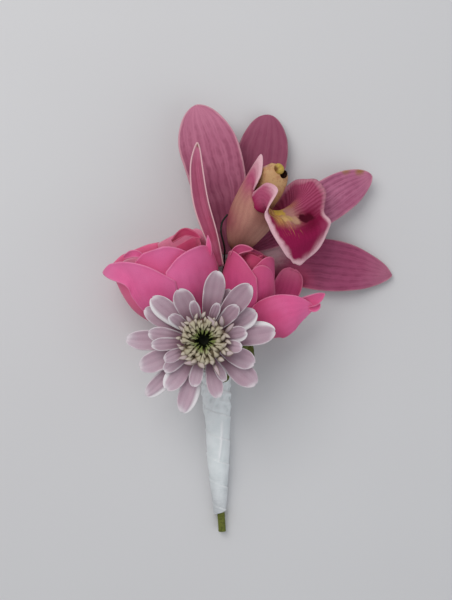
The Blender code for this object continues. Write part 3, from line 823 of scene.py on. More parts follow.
def lip_finish(name, colour_layer, vein_strength, rim_strength, marks=()):
    """The net's own colours, combed with veins, freckled, and white along the rim. Its far half
    has veins that fan the other way, and the throat has lit ones where marks are given."""
    finish = Finish(name, None, 3.0, 0.4)
    finish.colour = finish.stored(colour_layer, "Color")
    tree, u, v = finish.tree, finish.across, finish.up
    lines = finish.veins(u, v, 19.0, 1.8, 1.4)
    fan = finish.veins(v, 0.4, 44.0, 1.8, 1.4)
    far_half = times(tree, step(tree, u, 0.56, 0.68), step(tree, v, 0.74, 0.82, 1.0, 0.0))
    near_half = maths(tree, "SUBTRACT", 1.0, far_half)
    combed = maths(tree, "ADD", times(tree, lines["Vein"], near_half),
                   times(tree, fan["Vein"], far_half))
    finish.lay(times(tree, combed, vein_strength), DEEP)
    dots = finish.group("petal_skin", {"Patch Size": 0.55})["Patches"]
    finish.lay(times(tree, dots, 0.3 * vein_strength), WINE)
    if marks:
        throat = finish.mark((20.4, 19.6, 29.2), 5.0, 0.6)
        lit_lines = times(tree, throat, lines["Breaks"], step(tree, lines["Vein"], 0.3, 0.65))
        finish.lay(lit_lines, (0.60, 0.27, 0.10))
    finish.lay_marks(marks)
    soft_edge = maths(tree, "MAXIMUM", step(tree, u, 0.4, 0.6, 1.0, 0.0),
                      step(tree, v, 0.72, 0.84, 0.3, 1.0))
    finish.lay(times(tree, finish.rim(1.9, 0.45), rim_strength, soft_edge), WHITE)
    height = maths(tree, "MULTIPLY_ADD", lines["Vein"], -0.4, finish.skin["Pores"])
    return finish.close((0.4, 0.6), (height, 0.3, 0.00015), 0.04)


def lip_relief(v, s, rim):
    """A frilled margin on the middle lobe, and two ridges of callus down its middle."""
    frill = 0.4 * ease(0.55, 0.68, v) * np.abs(s) ** 4 * np.sin(42 * v + 3 * s)
    ridges = np.exp(-((s + 0.14) / 0.08) ** 2) + np.exp(-((s - 0.12) / 0.08) ** 2)
    callus = -0.7 * ridges * ease(0.48, 0.60, v) * (1 - ease(0.70, 0.80, v))
    return frill + callus


lip = dress("orchid_lip", petal_mesh(net(LIP_NET), 130, 66, lip_relief), [
    lip_finish("orchid lip outside", "lip_outside", 0.12, 0.5),
    lip_finish("orchid lip inside", "lip_inside", 0.5, 1.0, LIP_MARKS)],
    wall_mm=0.6, smooth_angle=80.0)
colour_net(lip.data, LIP_INSIDE, "lip_inside")
colour_net(lip.data, LIP_OUTSIDE, "lip_outside")

# %% [markdown]
# ## Round pieces: column, stalks and wire
#
# The column is the orchid's thick middle: cream to peach, freckled, with a hood that covers the
# yellow anther cap. It and the stalks are tubes along a typed route, closed round and at the ends.
# A tube could be a bevelled curve, but a grid keeps a UV map and lets relief shape its finish.

# %% Tubes and turned bodies


def tube(route, radii, squash=1.0, across=(1, 0, 0)):
    """A stem along the route's points. across is roughly square to the route, and squash
    flattens the section the other way."""
    route, across = points(*route), Vector(across)

    def surface(v, s):
        run = heading(route, v)
        side = (across - run * across.dot(run)).normalized()
        up = side.cross(run) * squash
        turn = -math.pi * s
        return along(route, v) + (side * math.cos(turn) + up * math.sin(turn)) * along(radii, v)

    return surface


def turned(place, profile):
    """A body turned round an axis, from its (height, radius) profile; place sets its points."""
    profile = points(*profile)

    def surface(v, s):
        height, radius = along(profile, v)
        return place(height, max(radius, 0.0), 180 * s)

    return surface


def dented(depth, size):
    """Relief for a stalk: long shallow dents, so that it is not a drawn pipe."""

    def relief(v, s, rim):
        return depth * (np.sin(size * v + 2.1 * np.cos(math.pi * s)) +
                        0.6 * np.sin(2.3 * size * v - 1.7 * np.sin(math.pi * s)))

    return relief


# %% Finish for stalks, column and cap


def stalk_finish(name, lower, upper, patch, freckle, roughness, freckles=0.5, freckle_size=0.9,
                 marks=(), bump=0.3, gloss=0.3):
    """Plain plant skin: two colours along it, soft patches and small freckles."""
    finish = Finish(name, lower, 3.5, 0.3)
    finish.lay(step(finish.tree, finish.up, 0.15, 0.75), upper)
    finish.lay(times(finish.tree, finish.skin["Patches"], 0.5), patch)
    spots = finish.group("petal_skin", {"Patch Size": freckle_size})["Patches"]
    finish.lay(step(finish.tree, spots, 0.72, 0.95, 0.0, freckles), freckle)
    finish.lay_marks(marks)
    return finish.close(roughness, (finish.skin["Cells"], bump, 0.0002), gloss)


column_skin = stalk_finish(
    "orchid column", (0.40, 0.13, 0.11), (0.60, 0.36, 0.17), (0.54, 0.28, 0.13),
    (0.42, 0.16, 0.08), (0.38, 0.52), freckles=0.45, freckle_size=1.4,
    marks=(((19.4, 35.4, 18.8), 1.0, 0.7, (0.30, 0.04, 0.06)),
           ((11.8, 42.6, 20.6), 1.2, 0.8, (0.70, 0.36, 0.36))))
cap_skin = stalk_finish(
    "anther cap", (0.52, 0.36, 0.06), (0.66, 0.50, 0.12), (0.58, 0.36, 0.10),
    (0.30, 0.14, 0.05), (0.35, 0.5), freckles=0.3,
    marks=(((15.6, 41.2, 23.4), 0.9, 0.5, (0.20, 0.08, 0.02)),))
# Painted shade: near black, for the shadow in the hollow under the cap.
hollow_shade_skin = stalk_finish(
    "painted shade in the hollow under the cap", (0.008, 0.003, 0.002), (0.014, 0.006, 0.004), (0.010, 0.004, 0.003),
    (0.06, 0.02, 0.012), (0.9, 1.0), freckles=0.4, freckle_size=0.6, gloss=0.0)
orchid_stalk_skin = stalk_finish(
    "orchid stalk", (0.34, 0.20, 0.09), (0.22, 0.26, 0.07), (0.30, 0.24, 0.08),
    (0.16, 0.10, 0.04), (0.5, 0.65))
rose_green_skin = stalk_finish(
    "rose green", (0.08, 0.12, 0.02), (0.13, 0.15, 0.02), (0.17, 0.18, 0.03),
    (0.05, 0.06, 0.01), (0.5, 0.7))
stem_green_skin = stalk_finish(
    "chrysanthemum green", (0.09, 0.12, 0.02), (0.10, 0.14, 0.02), (0.13, 0.16, 0.03),
    (0.06, 0.07, 0.02), (0.5, 0.7))
wire_skin = stalk_finish(
    "paper covered wire", (0.006, 0.010, 0.007), (0.012, 0.016, 0.010), (0.020, 0.016, 0.010),
    (0.03, 0.03, 0.02), (0.4, 0.6), bump=0.6)

# %% Orchid column, cap, stalk and wire
COLUMN_ROUTE = ((5.0, 17.4, 8.6), (7.9, 24.2, 12.9), (11.3, 31.0, 16.4), (14.0, 36.3, 18.9),
                (15.2, 40.2, 20.2), (15.9, 43.1, 20.6))
ORCHID_STALK_ROUTE = ((2.2, 13.2, 6.2), (0.0, 7.0, 3.6), (-2.2, -2.0, 2.3), (-4.2, -14.0, 2.2),
                      (-5.1, -26.0, 2.2), (-4.2, -43.0, 2.2), (-4.1, -54.0, 2.2))
WIRE_ROUTE = ((0.5, 27.4, 17.6), (-1.2, 24.9, 17.8), (-1.6, 22.0, 17.4), (-0.9, 18.9, 15.6),
              (-0.4, 15.6, 12.4), (-1.0, 9.0, 7.4), (-1.9, 1.0, 5.2), (-3.0, -10.0, 4.6),
              (-3.6, -26.0, 3.75), (-2.6, -44.0, 3.7))


def column_relief(v, s, rim):
    """A blunt rim round the hood, and a shallow channel down the underside."""
    hood = 0.2 * np.exp(-((v - 0.84) / 0.06) ** 2)
    channel = -0.5 * np.exp(-((s - 0.5) / 0.18) ** 2) * ease(0.1, 0.3, v) * (1 - ease(0.8, 0.95, v))
    return hood + channel + 0.08 * np.sin(9 * v + 6 * s)


def round_piece(node, finish, surface, rows, around, relief):
    bm = blank_petals()
    add_round(bm, surface, rows, around, relief)
    dress(node, bm, [finish])


round_piece("orchid_column", column_skin,
            tube(COLUMN_ROUTE, (1.7, 2.8, 4.1, 4.8, 4.4, 1.4), 0.62, (0.92, -0.39, 0.0)), 60, 40,
            column_relief)
round_piece("orchid_stem", orchid_stalk_skin,
            tube(ORCHID_STALK_ROUTE, (2.2, 1.8, 1.5, 1.3, 1.25, 1.25, 1.25)), 80, 20,
            dented(0.05, 40.0))
round_piece("florist_wire", wire_skin,
            tube(WIRE_ROUTE, (0.3,)), 240, 10, dented(0.02, 260.0))

# The cap is a plump bean with a groove along it. A near-black bowl under its tip is painted shade,
# for the shadow in the hollow there.
CAP_CENTRE = Vector((16.7, 41.2, 22.9))
HOLLOW_CENTRE = Vector((18.1, 39.6, 22.3))
cap = bmesh.new()
bmesh.ops.create_uvsphere(cap, u_segments=28, v_segments=20, radius=1.0, calc_uvs=False)
for vert in cap.verts:
    x, y, z = vert.co
    groove = 1 - 0.16 * math.exp(-(x / 0.22) ** 2) * max(z, 0)
    vert.co = Vector((x * 1.8, y * 1.5, z * 1.2)) * groove
tilt = Vector((1, 0.6, 0)).to_track_quat("Y", "Z").to_matrix()
bmesh.ops.rotate(cap, verts=cap.verts, matrix=tilt)
bmesh.ops.translate(cap, verts=cap.verts, vec=CAP_CENTRE)
hollow = bmesh.ops.create_uvsphere(
    cap, u_segments=20, v_segments=14, radius=1.0, calc_uvs=False)["verts"]
for vert in hollow:
    x, y, z = vert.co
    vert.co = Vector((x * 1.25, y * 1.35, z * 0.8)) + HOLLOW_CENTRE
for face in {face for vert in hollow for face in vert.link_faces}:
    face.material_index = 1
for vert in cap.verts:
    vert.co = to_world(vert.co)
bmesh.ops.recalc_face_normals(cap, faces=cap.faces)
cap.loops.layers.uv.new("petal_uv")
dress("orchid_anther_cap", cap, [cap_skin, hollow_shade_skin])

# %% [markdown]
# ## The spray roses
#
# A rose's petals wrap its axis in layers. The outer ones are broad and smooth, with a rim that
# rolls back over the last millimetre and catches the light. The heart is a spiral of smaller
# petals, deep pink where they shade each other. The hidden hip and sepals are green.

# %% Rose finishes
VELVET = {"roughness": (0.5, 0.66), "sheen": 0.08, "ragged": 0.8}
rose_bright = petal_finish(
    "rose petal",
    ((0.55, 0.045, 0.15), (0.83, 0.13, 0.34), (0.80, 0.145, 0.35), (0.84, 0.18, 0.41),
     (0.70, 0.10, 0.28), (0.84, 0.28, 0.46)),
    veins=(6.0, 0.3, 1.4), rim=(0.35, 0.6), patch_size=8.0, wander=1.2, relief=0.6,
    fine_veins=0.15, **VELVET)
rose_deep = petal_finish(
    "rose petal of the tight bloom",
    ((0.28, 0.012, 0.06), (0.60, 0.065, 0.21), (0.64, 0.09, 0.23), (0.66, 0.09, 0.26),
     (0.46, 0.035, 0.14), (0.80, 0.24, 0.38)),
    veins=(6.0, 0.3, 1.4), rim=(0.35, 0.65), patch_size=7.0, wander=1.2, relief=0.6,
    fine_veins=0.15, **VELVET)
rose_heart = petal_finish(
    "rose heart",
    ((0.22, 0.01, 0.035), (0.44, 0.03, 0.10), (0.56, 0.06, 0.16), (0.46, 0.03, 0.10),
     (0.32, 0.015, 0.06), (0.70, 0.15, 0.26)),
    veins=(5.0, 0.25, 1.2), rim=(0.35, 0.6), patch_size=5.0, relief=0.6, **VELVET)
rose_back_skin = petal_finish(
    "rose back petal",
    ((0.50, 0.07, 0.16), (0.68, 0.17, 0.29), (0.74, 0.21, 0.34), (0.70, 0.20, 0.32),
     (0.54, 0.10, 0.20), (0.80, 0.34, 0.44)),
    veins=(6.0, 0.25, 1.2), rim=(0.4, 0.6), patch_size=7.0, **VELVET)
rose_shaded = petal_finish(
    "rose petal in its own shade",
    ((0.46, 0.03, 0.10), (0.80, 0.12, 0.27), (0.82, 0.15, 0.31), (0.80, 0.12, 0.27),
     (0.62, 0.06, 0.17), (0.86, 0.24, 0.38)),
    veins=(6.0, 0.25, 1.2), rim=(0.35, 0.5), patch_size=7.0, **VELVET)

# %% Rose petals
LEFT_ROSE = Rose(hip=(-11.9, -9.9, 10.4), tip=(-20.9, 14.5, 14.9), flatten=0.83)
RIGHT_ROSE = Rose(hip=(5.6, -10.9, 12), tip=(9.3, 16.1, 16.5), flatten=0.9)

# Radius of each layer of petals, by height up the rose from its hip.
LEFT_OUTER = ((0, 3.6), (6, 9.3), (12, 13.7), (18, 15.4), (24, 15.9), (30, 16.2))
LEFT_INNER = ((0, 2.3), (6, 7.4), (12, 11.2), (18, 12.4), (24, 13.0), (30, 13.8))
RIGHT_UNDER = ((0, 4.3), (6, 9.8), (12, 14.0), (18, 16.4), (24, 17.2))
RIGHT_BUD = ((0, 3.1), (5, 6.4), (10, 8.7), (15, 9.1), (20, 8.7), (25, 7.9), (30, 7.0))
RIGHT_BUD_SECOND = ((0, 2.2), (5, 5.6), (10, 7.8), (15, 8.2), (20, 7.8), (25, 7.0), (30, 6.0))
RIGHT_BUD_THIRD = ((0, 1.3), (5, 4.7), (10, 6.9), (15, 7.4), (20, 7.0), (25, 6.2), (30, 5.2))


def rose_relief(roll, swell, phase=0.0, scallop=0.0):
    """The rim rolled outwards, broad soft swells, and shallow scallops along the rim."""

    def relief(v, s, rim):
        rolled = roll * (1 - ease(0.0, 1.7, rim)) ** 2 * ease(0.35, 0.7, v)
        swells = swell * np.sin(2.6 * s + 3.1 * v + phase) * np.sin(4.0 * v + 1.3 * s) * v
        scallops = scallop * np.sin(9 * s + phase) * ease(0.7, 1.0, v)
        return rolled + swells + scallops

    return relief


ROSE_PETALS = {
    "rose_left_petal_near_left": (shell(
        LEFT_ROSE, -40, LEFT_OUTER, (26, 36, 43, 47), (0.92, 1.00, 0.985, 0.87, 0.62),
        (2.0, 0.2, 0, 0, 0), lean=-0.6, level=0.6, left=(0, 2, 4, 7, 8, 10, 49)), rose_bright,
        rose_relief(0.35, 0.25, 0.4)),
    "rose_left_petal_near_right": (shell(
        LEFT_ROSE, 38, LEFT_OUTER, (28, 40, 43, 38), (0.74, 0.84, 0.87, 0.85, 0.76), lean=0.5),
        rose_bright, rose_relief(0.35, 0.3, 1.7)),
    "rose_left_petal_under_right": (shell(
        LEFT_ROSE, 140, LEFT_OUTER, (42, 46, 46, 42), (0.86, 0.98, 1.02, 1.0, 0.97), lean=0.5),
        rose_back_skin, rose_relief(0.6, 0.2, 0.9, 0.2)),
    "rose_left_petal_under_left": (shell(
        LEFT_ROSE, -118, LEFT_OUTER, (48, 66, 78, 80), (0.98, 1.02, 0.97, 0.9, 0.8), lean=-0.3,
        level=0.7, left=(36, 48, 57, 62)),
        rose_shaded, rose_relief(0.5, 0.2, 2.2, 0.15)),
    "rose_left_petal_inner_near": (shell(
        LEFT_ROSE, -5, LEFT_INNER, (50, 60, 62, 60), (0.75, 0.94, 1.02, 0.93, 0.7), lean=0.6),
        rose_bright, rose_relief(0.35, 0.2, 0.2, 0.2)),
    "rose_left_petal_inner_right": (shell(
        LEFT_ROSE, 115, LEFT_INNER, (50, 60, 62, 60), (0.7, 0.85, 0.92, 0.9, 0.85), lean=0.6),
        rose_heart, rose_relief(0.4, 0.2, 1.2, 0.2)),
    "rose_left_petal_inner_left": (shell(
        LEFT_ROSE, -125, LEFT_INNER, (50, 60, 62, 60), (0.85, 0.9, 0.95, 0.92, 0.85), lean=0.6),
        rose_back_skin, rose_relief(0.4, 0.2, 2.6, 0.2)),
    "rose_right_petal_near_left": (shell(
        RIGHT_ROSE, -56, RIGHT_BUD, (52, 68, 72, 66), (0.72, 0.85, 0.89, 0.83, 0.66), level=0.2),
        rose_deep, rose_relief(0.3, 0.2, 0.7)),
    "rose_right_petal_near_right": (shell(
        RIGHT_ROSE, 30, RIGHT_BUD_SECOND, (28, 46, 48, 44), (0.66, 0.77, 0.79, 0.72, 0.5),
        lean=0.3),
        rose_deep, rose_relief(0.15, 0.1, 1.1)),
    "rose_right_petal_right": (shell(
        RIGHT_ROSE, 62, RIGHT_BUD_THIRD, (44, 62, 64, 60), (0.75, 0.86, 0.88, 0.84, 0.8), lean=0.6),
        rose_deep, rose_relief(0.15, 0.1, 1.9)),
    "rose_right_petal_back": (shell(
        RIGHT_ROSE, 176, RIGHT_BUD, (44, 56, 72, 76), (0.78, 0.86, 0.90, 0.915, 0.89), level=-0.7,
        left=(34, 38, 46, 46)),
        rose_deep, rose_relief(0.3, 0.15, 0.3)),
    "rose_right_petal_under": (shell(
        RIGHT_ROSE, 174, RIGHT_UNDER, (28, 28, 28, 26), (0.6, 0.72, 0.75, 0.72, 0.6)),
        rose_deep, rose_relief(0.4, 0.2, 0.8)),
    "rose_right_petal_far_right": (blade(
        ((10.2, -9.2, 8.2), (14.9, -4.2, 5.9), (19.6, 3.0, 6.2), (22.2, 10.6, 9.0)),
        face=((0.5, -0.4, 1), (0.2, -0.1, 1), (0, -0.1, 1)),
        half_width=4.9, shape=(0.74, 0.3, 0.3), cup=(0.0, 0.05, 0.15)),
        rose_deep, rose_relief(0.7, 0.15, 0.5, 0.1)),
    "rose_right_petal_open": (blade(
        ((7.0, -12.8, 17.6), (13.5, -7.2, 23.0), (21, -3.9, 23.3), (28.2, -2.0, 17.8)),
        face=((-0.2, 0.2, -1), (0.2, 0.2, -1)),
        half_width=7.2, shape=(0.38, 0.35, 0.95), cup=(0.3,)),
        rose_bright, rose_relief(-0.3, -0.2, 1.4)),
}

# Small folds that belong to a petal: midrib, the way it faces, half width, cup and tone.
ROSE_FOLDS = (
    ("rose_left_petal_near_right", ((-5.4, 12.4, 17.5), (-5.3, 16.5, 20.0), (-5.7, 20.4, 21.5)),
     (-0.3, -0.1, 1.0), 0.95, 0.5, 0.0),
    ("rose_left_petal_inner_near", ((-32.0, 13.4, 22.6), (-28.8, 14.6, 24.0), (-25.0, 13.4, 24.0)),
     (0.0, -0.4, 1.0), 1.2, 0.3, 0.0),
    ("rose_left_petal_inner_right", ((-17.0, 18.4, 22.6), (-12.7, 21.2, 23.0), (-7.8, 19.4, 22.4)),
     (0.0, 0.3, 1.0), 1.3, 0.5, 0.0),
    ("rose_right_petal_near_left", ((1.6, 13.8, 19.4), (4.4, 15.9, 21.0), (8.6, 16.0, 21.3)),
     (0.0, 0.3, 1.0), 1.5, 0.4, 0.5),
    ("rose_right_petal_open", ((22.6, -0.8, 18.0), (27.5, 0.0, 18.6), (31.6, 2.0, 18.2)),
     (0.0, -0.3, 1.0), 2.0, 0.3, 0.4),
    ("rose_right_petal_open", ((26.2, -2.6, 19.2), (28.2, -2.3, 19.4), (30.0, -1.2, 19.0)),
     (0.3, -0.3, 1.0), 1.0, 1.3, 0.3),
)


def shaded_base(v, s):
    """A petal is darker low down and at its far sides, where the next petal covers it."""
    return 0.55 * (1 - ease(0.15, 0.75, v)) + 0.25 * ease(0.75, 1.0, np.abs(s)) * (1 - v)


def shaded_left(v, s):
    """The tight bloom's left petal turns away from the light at its left."""
    return 0.6 * (1 - ease(-0.6, 0.35, s)) + 0.25 * (1 - ease(0.15, 0.55, v)) * ease(-0.5, 0.5, s)


def shaded_inside(v, s):
    """The inner petals stay dark until just under their rims."""
    return 0.9 * (1 - ease(0.55, 0.95, v))


def pale_top(v, s):
    """The small petal at the right is washed out along its top."""
    return 0.45 * ease(0.55, 0.95, v)


ROSE_WALL = 0.42
ROSE_TONES = {"rose_right_petal_near_left": shaded_left}
for node, (surface, finish, relief) in ROSE_PETALS.items():
    tone = ROSE_TONES.get(node, shaded_inside if finish == rose_heart else shaded_base)
    bm = petal_mesh(surface, 48, 44, relief, tone, pale_top if "far_right" in node else None)
    for owner, midrib, face, half_width, cup, tone in ROSE_FOLDS:
        if owner == node:
            fold = blade(midrib, (face,), half_width, (0.45, 0.4, 0.7), (cup,))
            add_petal(bm, fold, 24, 12, rose_relief(0.0, 0.1), tone)
    for vert in bm.verts:  # a petal that reaches the table lies on it
        vert.co.z = max(vert.co.z, ROSE_WALL / 2 * MM)
    dress(node, bm, [finish], ROSE_WALL)

# %% [markdown]
# ## The roses' hearts
#
# Each heart is one piece: a spiral of small petals, every one about a third of a turn on from
# the last and closer to the axis. The solid in the CAD is a plain bulb of the same size.
# Modelling each petal as a wrapped shell keeps real gaps and shade between them, which a bump
# could not give.

# %% Spiral hearts
HEART_WALL = 0.36


def spiral_heart(node, rose, layers, top_lean):
    """layers: (bearing, widest radius, height of its rim, half its angle), from the outside in."""
    bm = blank_petals()
    for number, (bearing, radius, height, half_angle) in enumerate(layers):
        profile = ((0.6, 0.5), (height * 0.25, radius * 0.72), (height * 0.5, radius * 0.98),
                   (height * 0.75, radius), (height, radius * top_lean))
        petal = shell(rose, bearing, profile, (half_angle * 0.8, half_angle, half_angle),
                      (0.93, 0.99, 1.0, 0.97, 0.9), lean=0.35)
        add_petal(bm, petal, 30, 30, rose_relief(0.3, 0.15, number * 1.3, 0.15), shaded_inside)
    dress(node, bm, [rose_heart], HEART_WALL)


spiral_heart("rose_left_inner_petals", LEFT_ROSE, (
    (20, 9.0, 22.0, 75), (150, 8.6, 22.5, 75), (-100, 8.2, 22.0, 70), (60, 7.0, 22.5, 80),
    (180, 6.4, 22.5, 80), (-50, 5.8, 22.0, 80), (90, 4.6, 21.5, 90), (-130, 3.8, 21.0, 100),
    (0, 2.6, 20.0, 120)), 0.88)
spiral_heart("rose_right_inner_petals", RIGHT_ROSE, (
    (140, 5.9, 26.0, 85), (-20, 5.5, 26.5, 85), (-140, 5.0, 26.5, 85), (80, 4.2, 26.5, 90),
    (-60, 3.6, 26.0, 95), (170, 2.8, 25.5, 110), (30, 1.9, 25.0, 130)), 0.7)

# %% Rose stems with hip and sepals
HIP_RADII = (2.6, 3.9, 2.6, 1.3, 1.25, 1.25, 1.25, 1.25, 1.25)
LEFT_STEM_ROUTE = ((-11.7, -10.7, 10.2), (-10.7, -13.2, 9.7), (-9.6, -15.8, 8.8),
                   (-8.2, -18.6, 7.6), (-6.2, -22.0, 6.2), (-5.2, -26.0, 5.4),
                   (-4.8, -34.0, 5.2), (-4.1, -43.0, 5.1), (-3.9, -50.0, 5.0))
RIGHT_STEM_ROUTE = ((5.5, -11.7, 11.9), (5.1, -14.2, 11.3), (4.4, -16.4, 10.0),
                    (3.2, -18.4, 7.8), (0.2, -21.6, 4.4), (-2.0, -26.5, 2.4),
                    (-1.2, -44.0, 2.1), (-1.9, -64.0, 1.95), (-1.3, -78.1, 1.8))
LEFT_SEPALS = (
    ((-12.6, -13.2, 12.6), (-15.6, -15.0, 14.2), (-18.6, -15.6, 13.6)),
    ((-9.4, -13.0, 12.2), (-7.6, -16.2, 13.8), (-6.8, -19.6, 12.6)),
    ((-12.6, -12.6, 7.6), (-15.4, -14.0, 5.0), (-18.0, -14.4, 3.4)),
    ((-9.6, -13.6, 7.4), (-8.6, -17.0, 5.2), (-9.6, -20.0, 3.4)),
)
RIGHT_SEPALS = (
    ((6.6, -14.0, 13.6), (8.6, -17.2, 14.2), (9.2, -20.2, 12.6)),
    ((3.4, -14.4, 13.2), (1.6, -18.5, 14.6), (0.9, -23.2, 13.8), (0.5, -25.8, 12.8),
     (-0.9, -26.9, 11.8)),
    ((7.6, -13.0, 9.6), (8.7, -16.6, 8.8), (8.8, -19.4, 8.0)),
    ((3.4, -13.6, 9.0), (0.8, -15.4, 7.4), (-1.8, -16.4, 6.6)),
)


def rose_stem(node, route, sepals):
    bm = blank_petals()
    add_round(bm, tube(route, HIP_RADII), 100, 24, dented(0.05, 30.0))
    for sepal in sepals:
        leaf = tube(sepal, (0.9, 0.85, 0.5, 0.12), 0.25, (0.6, -0.5, 0.3))
        add_round(bm, leaf, 16, 10, tone=0.3)
    dress(node, bm, [rose_green_skin])


rose_stem("rose_left_stem", LEFT_STEM_ROUTE, LEFT_SEPALS)
rose_stem("rose_right_stem", RIGHT_STEM_ROUTE, RIGHT_SEPALS)

# %% [markdown]
# ## The chrysanthemum's rays
#
# Each ray floret is a narrow spoon: a long petal with two grooves, rims that stand up a little,
# a darker base and a pale tip. The flower has two full rows and a ring of short ones. One
# function grows a ray from its bearing, reach, width and row, so all 28 differ as real ones do.

# %% Ray finish
ray_skin = petal_finish(
    "chrysanthemum ray",
    ((0.22, 0.10, 0.14), (0.55, 0.40, 0.47), (0.62, 0.50, 0.57), (0.53, 0.35, 0.43),
     (0.42, 0.27, 0.34), (0.88, 0.85, 0.86)),
    veins=(3.0, 0.35, 1.6), rim=(0.26, 0.55), roughness=(0.55, 0.7), sheen=0.1, patch_size=5.0,
    wander=0.5, relief=0.8, ragged=1.3, fine_veins=0.2)

# %% Rays
MUM_CENTRE = Vector((-6.7, -12.7, 0.0))
RAY_ROW_BASE = 28.0
RAY_ROW_STEP = 0.8
RAY_ROW_RISE = (1.0, 7.0, 13.0, 21.0, 32.0, 46.0)  # degrees, from the lowest row inwards
RAY_BASE_RADIUS = 4.6
RAY_WALL = 0.3

# Each ray: bearing in degrees, reach, half width, row, and the rim that stands up (-1, 0 or 1).
RAYS = (
    (79, 21.9, 3.2, 1, 0), (51, 22.2, 3.3, 2, 0), (63, 17.8, 2.6, 0, 0), (30, 18.2, 3.0, 1, -1),
    (8, 22.0, 3.4, 0, 1), (-24, 16.7, 3.0, 1, 0), (-40, 20.7, 3.4, 0, 0), (-76, 17.6, 2.4, 1, 0),
    (-107, 22.9, 2.9, 0, 1), (-128, 18.5, 2.9, 1, -1), (-137, 24.5, 2.5, 0, 1),
    (-158, 21.1, 3.2, 1, 0), (179, 24.0, 3.1, 0, 0), (152, 20.8, 2.7, 0, 0), (140, 20.7, 3.0, 1, 1),
    (116, 17.5, 3.2, 2, 0), (141, 12.7, 1.8, 4, 1), (171, 17.0, 2.4, 2, 0),
    (-177, 15.6, 2.0, 3, 0), (-156, 12.7, 1.8, 4, 0), (-144, 14.9, 2.0, 2, 0),
    (-103, 13.9, 2.0, 2, 0), (47, 14.9, 2.2, 3, 0), (14, 13.1, 2.2, 3, -1),
    (-8, 11.4, 1.9, 4, 0), (105, 12.7, 1.5, 4, 0), (70, 12.3, 1.4, 4, 0), (-62, 13.5, 1.4, 2, 0),
)


def ray(bearing, reach, half_width, row):
    out, side = compass(bearing)
    slope = math.tan(math.radians(RAY_ROW_RISE[row]))
    base_height = RAY_ROW_BASE + RAY_ROW_STEP * row

    def surface(v, s):
        v = closer_at_tip(v)
        radius = RAY_BASE_RADIUS + (reach - RAY_BASE_RADIUS) * v
        half = max(half_width * outline(v, 0.68, 0.3, 0.5), LEAST_HALF_WIDTH)
        height = base_height + slope * (radius - RAY_BASE_RADIUS) + 0.25 * half * s * s
        return MUM_CENTRE + out * radius + side * half * s + UP * height

    return surface


def ray_relief(standing, phase):
    """Two long grooves, rims lifted a little, and one rim folded up where standing says so."""

    def relief(v, s, rim):
        grooves = -0.13 * (0.5 - 0.5 * np.cos(3 * math.pi * s)) * ease(0.0, 0.3, v) * (
            1 - ease(0.8, 1.0, v))
        lifted = 0.16 * (1 - ease(0.0, 0.7, rim))
        folded = 0.9 * ease(0.45, 1.0, standing * s) * np.sin(math.pi * np.clip(v, 0, 1)) ** 0.6
        bent = 0.25 * np.sin(2.5 * v + phase) * v
        return grooves + lifted + folded + bent

    return relief


def ray_shade(depth):
    """Darker at the base, where the rows above shade it, for most of the hidden third."""

    def tone(v, s):
        return np.clip(depth + 0.75 * (1 - ease(0.05, 0.5, v)), 0, 1)

    return tone


def ray_highlight_and_tip(standing, side):
    """Painted highlight: white where a rim folds up and catches the light. A fainter white at the
    tip is the ray's own paler colour, reaching a little further down one side.
    """

    def pale(v, s):
        folded = 0.9 * ease(0.55, 0.8, standing * s) * ease(0.12, 0.35, v)
        tip = 0.55 * ease(0.80, 1.0, v + 0.1 * side * s)
        return np.maximum(folded, tip)

    return pale


chance = random.Random(5)
for number, (bearing, reach, half_width, row, standing) in enumerate(RAYS, start=1):
    # Painted shade: the rays that lie over the roses are darker all along.
    shade_over_roses = 0.3 if 40 < bearing < 130 else 0.12 if 0 < bearing < 160 else 0.0
    tone = ray_shade(chance.uniform(0.0, 0.12) + (0.06 if row >= 3 else 0.0) + shade_over_roses)
    relief = ray_relief(standing, chance.uniform(-0.6, 0.6))
    petal = petal_mesh(ray(bearing, reach, half_width, row), 30, 18, relief, tone,
                       ray_highlight_and_tip(standing, chance.choice((-1, 1))))
    node = f"chrysanthemum_ray_{number:02d}"
    dress(node, petal, [ray_skin], RAY_WALL, rim_part=0.6)

# %% [markdown]
# ## The chrysanthemum's middle
#
# The middle is a crater of florets that have not opened: pointed scales that lean in over a dark
# green hole, then a ring of round cream knobs, and a few small half-open rays. Each is a small
# closed body of about 120 faces, bent along its own short route. A displaced dome would be
# quicker, but it has no gaps or shadows between the florets.

# %% Floret finish
DISC_CENTRE = MUM_CENTRE + Vector((-0.1, 0.5, 0))
florets = Finish("unopened florets", (0.21, 0.28, 0.06), 2.2, 0.25)
tree = florets.tree
centred = put(tree, "Mapping", {"Vector": florets.place, "Location": -to_world(DISC_CENTRE)})
level = put(tree, "VectorMath", {0: centred.outputs["Vector"], 1: (1.0, 1.0, 0.0)},
            operation="MULTIPLY").outputs["Vector"]
radius = put(tree, "VectorMath", {0: level}, operation="LENGTH").outputs["Value"]
radius_mm = times(tree, radius, IN_MM)
height = put(tree, "SeparateXYZ", {"Vector": florets.place}).outputs["Z"]
height_mm = times(tree, height, IN_MM)
ringed = maths(tree, "MULTIPLY_ADD", florets.skin["Patches"], 0.9, radius_mm)
florets.lay(step(tree, ringed, 2.8, 4.8), (0.48, 0.43, 0.30))
florets.lay(step(tree, radius_mm, 5.6, 8.0), (0.60, 0.52, 0.45))
# Painted shade: brown low down on each floret, where its neighbours shade it.
florets.lay(step(tree, florets.up, 0.05, 0.6, 0.9, 0.0), (0.16, 0.10, 0.05))
florets.lay(florets.stored("tone"), (0.54, 0.41, 0.45))
# Painted shade: brown on the flanks of the florets and on the disc between them, stored as pale.
florets.lay(florets.stored("pale"), (0.17, 0.12, 0.06))
